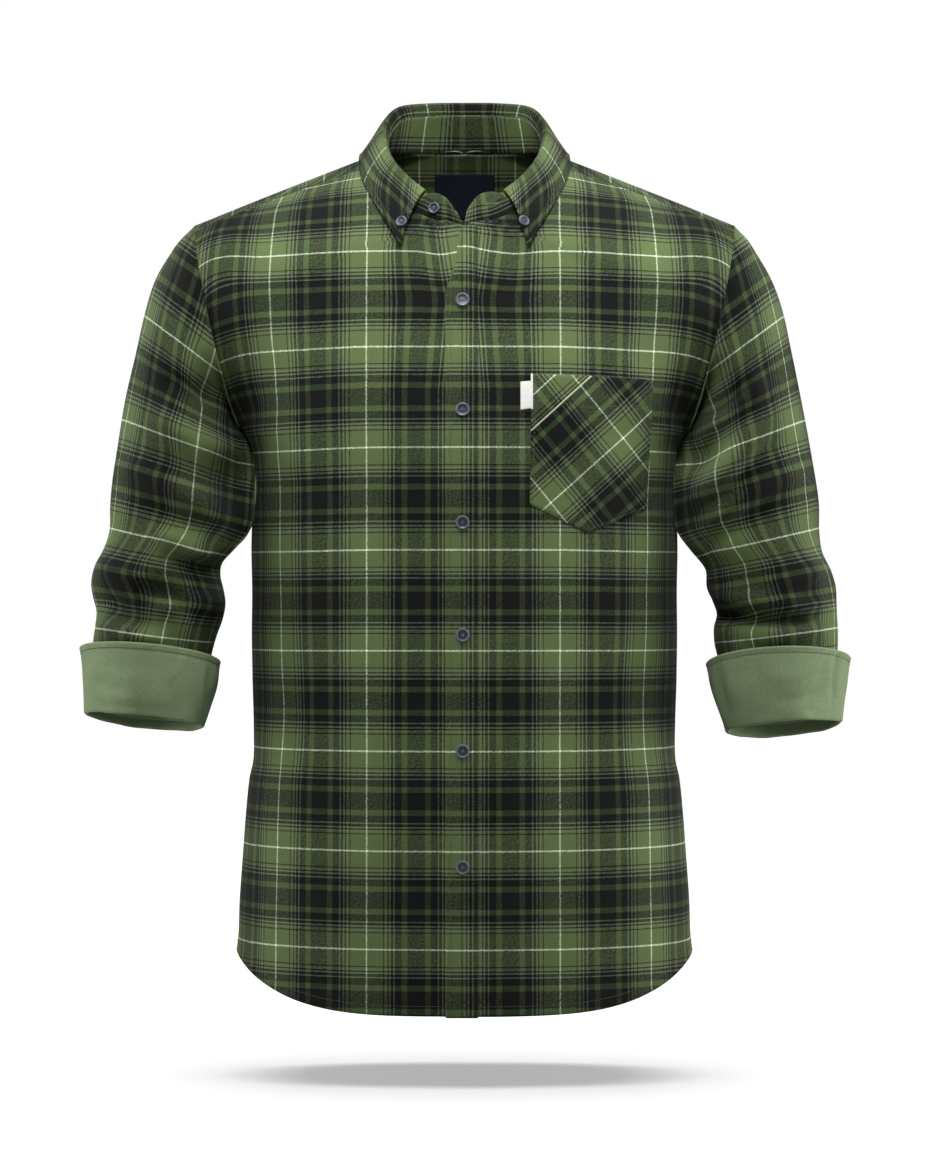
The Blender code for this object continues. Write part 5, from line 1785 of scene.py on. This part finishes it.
# %% [markdown]
# ## Tab and label
#
# Both are short pieces of woven tape. The white tab is folded and caught beside the
# pocket; the navy label lies inside the back of the neck. Flat boxes would do from afar,
# but they would cut into the cloth. They are small grids cast on the panel behind them,
# like the pocket, and stand a little off it.

# %% Tab
TAB = ((46.4, -189.2), (55.0, -188.4), (55.0, -210.6), (46.4, -212.0))
TAB_STRIP = (54.8, 56.0, -182.6, -211.4)  # the tape's end, caught along the pocket's edge
u, v = mesh_of(np.linspace(0, 1, 14), np.linspace(0, 1, 8))
a, b, c, d = (np.array(p) for p in TAB)
upper = a + np.multiply.outer(v, b - a)
lower = d + np.multiply.outer(v, c - d)
flat = upper * (1 - u)[..., None] + lower * u[..., None]
places, normals = behind(fronts[1].tree, flat[..., 0], flat[..., 1])
grid = places + normals * (1.3 + 0.4 * np.sin(u * math.pi) * v)[..., None]
cloth = Cloth("tab_tape")
cloth.grid(grid, flat, turned=True)
x0, x1, z0, z1 = TAB_STRIP
flat = np.stack([x0 + (x1 - x0) * v, z0 + (z1 - z0) * u], -1)
places, normals = behind(fronts[1].tree, flat[..., 0], flat[..., 1])
cloth.grid(places + normals * 2.3, flat, turned=True)
tab = cloth.build(0.6, WHITE, WHITE)
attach(tab, "root")
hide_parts("pocket_tab")

# %% Label
LABEL_HALF = 25.5
LABEL_TOP = -3.0
LABEL_LOW = -40.0
u, v = mesh_of(np.linspace(0, 1, 20), np.linspace(0, 1, 26))
x = -LABEL_HALF + 2 * LABEL_HALF * v
z = LABEL_LOW + (LABEL_TOP - LABEL_LOW) * u
places, normals = behind(yoke_tree, x, z, 400.0, -1.0)
inward = np.array([0, -1.0, 0])
grid = places + inward * (1.5 + 1.0 + 0.5 * np.sin(v * math.pi) * (1 - u))[..., None]
cloth = Cloth("label_tape")
cloth.grid(grid, np.stack([x, z], -1))
label = cloth.build(0.5, NAVY, NAVY)
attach(label, "root")
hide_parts("neck_label")

# %% [markdown]
# ## Buttons
#
# Small slate-blue buttons with a raised rim and four holes, sewn on with crossed navy
# thread. The rim is coloured lighter than the face: a painted highlight. The round part
# could be spun with a modifier and its holes cut out; at this size a profile turned by
# numbers and four dark, sunk eyes look the same and always give a clean mesh. One helper
# gathers a button's points, and all nine are made with it.

# %% Button materials
made, shader = plain_material("button_slate", (0.055, 0.085, 0.14), 0.42)
shader.inputs["Coat Weight"].default_value = 0.25
shader.inputs["Coat Roughness"].default_value = 0.2
w = Wires(made.node_tree)
ramp_chart = w.node("ShaderNodeUVMap", uv_map="threads")
split = w.node("ShaderNodeSeparateXYZ")
w.link(ramp_chart.outputs["UV"], split.inputs[0])
cloudy = w.noise(ramp_chart.outputs["UV"], 900.0, 3.0)
# painted highlight: the raised rim is coloured lighter than the face, where light would catch it
rim_highlight_mask = w.range(split.outputs["X"], 0.66, 0.74)
body_colour = w.mix(cloudy, (0.005, 0.007, 0.013, 1), (0.016, 0.022, 0.036, 1))
rim_highlight_colour = w.mix(cloudy, (0.045, 0.055, 0.080, 1), (0.100, 0.115, 0.150, 1))
w.link(w.mix(rim_highlight_mask, body_colour, rim_highlight_colour), shader.inputs["Base Color"])
SLATE = made
THREAD, _ = plain_material("navy_thread", (0.10, 0.11, 0.13), 0.8)
print(SLATE.name, "and", THREAD.name)

# %% Shape of a button
SIDES = 40
BUTTON_T = 2.6
EYE_SIDES = 10
STRAND_SIDES = 6
STRAND_STEPS = 7
STRAND = (0.33, 0.28)  # half width and half height of the thread
PROFILE = (  # radius and height, as shares of the button's own
    (0.84, 0.00), (0.95, 0.20), (1.00, 0.50), (0.985, 0.80), (0.93, 0.96), (0.86, 1.00),
    (0.79, 0.95), (0.73, 0.80), (0.70, 0.66), (0.60, 0.60), (0.40, 0.58), (0.0, 0.57),
)


class Button:
    """Points and faces of one button. Its back face lies at the given point (mm)."""

    def __init__(self, at, facing, diameter):
        self.radius = diameter / 2
        self.at = np.asarray(at, float)
        self.facing = np.asarray(facing, float) / np.linalg.norm(facing)
        self.right = np.cross([0, 0, 1], self.facing)
        self.right /= np.linalg.norm(self.right)
        self.up = np.cross(self.facing, self.right)
        self.points, self.shares, self.faces, self.kinds = [], [], [], []

    def point(self, x, y, height, share):
        """A point by its place on the button's face and its height above the back."""
        self.points.append(self.at + self.facing * height + self.right * x + self.up * y)
        self.shares.append(share)

    def band(self, first, count, kind):
        """Faces between a ring of points and the next one."""
        for k in range(count):
            n = (k + 1) % count
            self.faces.append((first + k, first + n, first + count + n, first + count + k))
            self.kinds.append(kind)

    def disc(self):
        self.point(0, 0, 0, 0.0)
        for r, h in PROFILE[:-1]:
            for k in range(SIDES):
                angle = math.tau * k / SIDES
                reach = r * self.radius
                self.point(math.cos(angle) * reach, math.sin(angle) * reach, h * BUTTON_T, r)
        self.point(0, 0, PROFILE[-1][1] * BUTTON_T, 0.0)
        self.faces += [(0, 1 + (k + 1) % SIDES, 1 + k) for k in range(SIDES)]
        self.kinds += [0] * SIDES
        for i in range(len(PROFILE) - 2):
            self.band(1 + i * SIDES, SIDES, 0)
        a, last = 1 + (len(PROFILE) - 2) * SIDES, len(self.points) - 1
        self.faces += [(a + k, a + (k + 1) % SIDES, last) for k in range(SIDES)]
        self.kinds += [0] * SIDES

    def eye(self, x, y, level):
        """A sunk hole with a low rim and a dark floor."""
        base, size = len(self.points), 0.13 * self.radius
        for r, h in ((1.25, 0.02), (1.0, 0.10), (0.72, 0.02)):
            for s in range(EYE_SIDES):
                t = math.tau * s / EYE_SIDES
                self.point(x + size * r * math.cos(t), y + size * r * math.sin(t), level + h, 0.3)
        for j in range(2):
            self.band(base + j * EYE_SIDES, EYE_SIDES, 0)
        self.faces.append(tuple(base + 2 * EYE_SIDES + s for s in range(EYE_SIDES)))
        self.kinds.append(1)

    def strand(self, start, end, level):
        """The thread from one eye to the one across, bowed up in between."""
        base = len(self.points)
        start, end = np.array(start), np.array(end)
        long = (end - start) / np.linalg.norm(end - start)
        wide = np.array([-long[1], long[0]])
        for s in range(STRAND_STEPS):
            t = s / (STRAND_STEPS - 1)
            mid = start * (1 - t) + end * t
            lift = level - 0.25 + 0.75 * math.sin(math.pi * t) ** 0.5
            for q in range(STRAND_SIDES):
                angle = math.tau * q / STRAND_SIDES
                spot = mid + wide * STRAND[0] * math.cos(angle)
                self.point(*spot, lift + STRAND[1] * math.sin(angle), 0.3)
        for s in range(STRAND_STEPS - 1):
            for q in range(STRAND_SIDES):
                n, a = (q + 1) % STRAND_SIDES, base + s * STRAND_SIDES
                self.faces.append((a + q, a + STRAND_SIDES + q, a + STRAND_SIDES + n, a + n))
        far = base + (STRAND_STEPS - 1) * STRAND_SIDES
        self.faces.append(tuple(base + q for q in range(STRAND_SIDES)))
        self.faces.append(tuple(far + q for q in range(STRAND_SIDES))[::-1])
        self.kinds += [1] * ((STRAND_STEPS - 1) * STRAND_SIDES + 2)


# %% Button maker
def button(name, node, at, facing, diameter, turn=0.0):
    """A four-hole button with its thread, in place of one solid."""
    made = Button(at, facing, diameter)
    made.disc()
    level, spread = PROFILE[-1][1] * BUTTON_T, 0.27 * made.radius
    angles = [turn + math.pi / 4 + math.pi / 2 * k for k in range(4)]
    eyes = [(math.cos(angle) * spread, math.sin(angle) * spread) for angle in angles]
    for x, y in eyes:
        made.eye(x, y, level)
    made.strand(eyes[0], eyes[2], level)
    made.strand(eyes[1], eyes[3], level)
    mesh = bpy.data.meshes.new(name)
    mesh.from_pydata([tuple(p * MM) for p in made.points], [], made.faces)
    mesh.materials.append(SLATE)
    mesh.materials.append(THREAD)
    mesh.polygons.foreach_set("material_index", made.kinds)
    chart = mesh.uv_layers.new(name="threads")
    for loop in mesh.loops:
        number = loop.vertex_index
        chart.data[loop.index].uv = (made.shares[number], number % SIDES / SIDES)
    mesh.shade_smooth()
    mesh.set_sharp_from_angle(angle=math.radians(60))
    obj = bpy.data.objects.new(name, mesh)
    scene.collection.objects.link(obj)
    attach(obj, "root")
    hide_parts(node)
    print(name, len(mesh.polygons), "faces")

# %% Sew the buttons on
BUTTON_D = 11.5
SMALL_BUTTON_D = 9.5
BUTTON_X = -1.6
CLEAR = 0.5  # how far a button stands off the cloth
FRONT_BUTTON_Z = (-121.0, -212.0, -305.0, -398.0, -494.0, -590.0)


def surface(tree, x, z):
    """The front of a panel at a place of the front view, and its normal."""
    place, normal, _, _ = tree.ray_cast(Vector((x, -400, z)), Vector((0, 1, 0)))
    return np.array(place), np.array(normal) * (-1 if normal[1] > 0 else 1)


for number, z in enumerate(FRONT_BUTTON_Z, 1):
    place, normal = surface(placket_tree, BUTTON_X, z)
    at, node = place + normal * CLEAR, f"front_button_{number}"
    button(f"button_{number}", node, at, normal, BUTTON_D, 0.4 * number)
for side, x, z in ((-1, -51.8, -55.4), (1, 48.6, -55.0)):
    place, normal = surface(leaf_tree, x, z)
    word = "left" if side > 0 else "right"
    at, node = place + normal * CLEAR, f"collar_button_{word}"
    button(f"point_button_{word}", node, at, normal, SMALL_BUTTON_D)
place, normal = surface(stand_tree, -24.8, -43.4)
button("neck_button", "stand_button", place + normal * 0.6, normal, SMALL_BUTTON_D)

# %% The hole for the neck button: a short slit, oversewn on both sides
slit = []
for lift in (-0.5, 0.5):
    for x in np.linspace(18.5, 27.5, 12):
        place, normal = surface(stand_tree, x, -39.2 + 0.12 * (x - 23) + lift)
        slit.append(place + normal * 0.2)
sew("neck_buttonhole", [slit[:12], slit[12:]], PALE_THREAD, pitch=0.9, long=1.2)

# %% [markdown]
# ## Sheets of cloth
#
# A maker cuts each piece flat before it is sewn. The model could leave that out, but who
# reuses the shirt may want to cut or drape it, so a record, Cut, is set out to hold a
# piece's flat size in metres, the area of the cloth in it, how it is held and what it
# rests on.

Cut = namedtuple("Cut", "piece wide long area held rests")
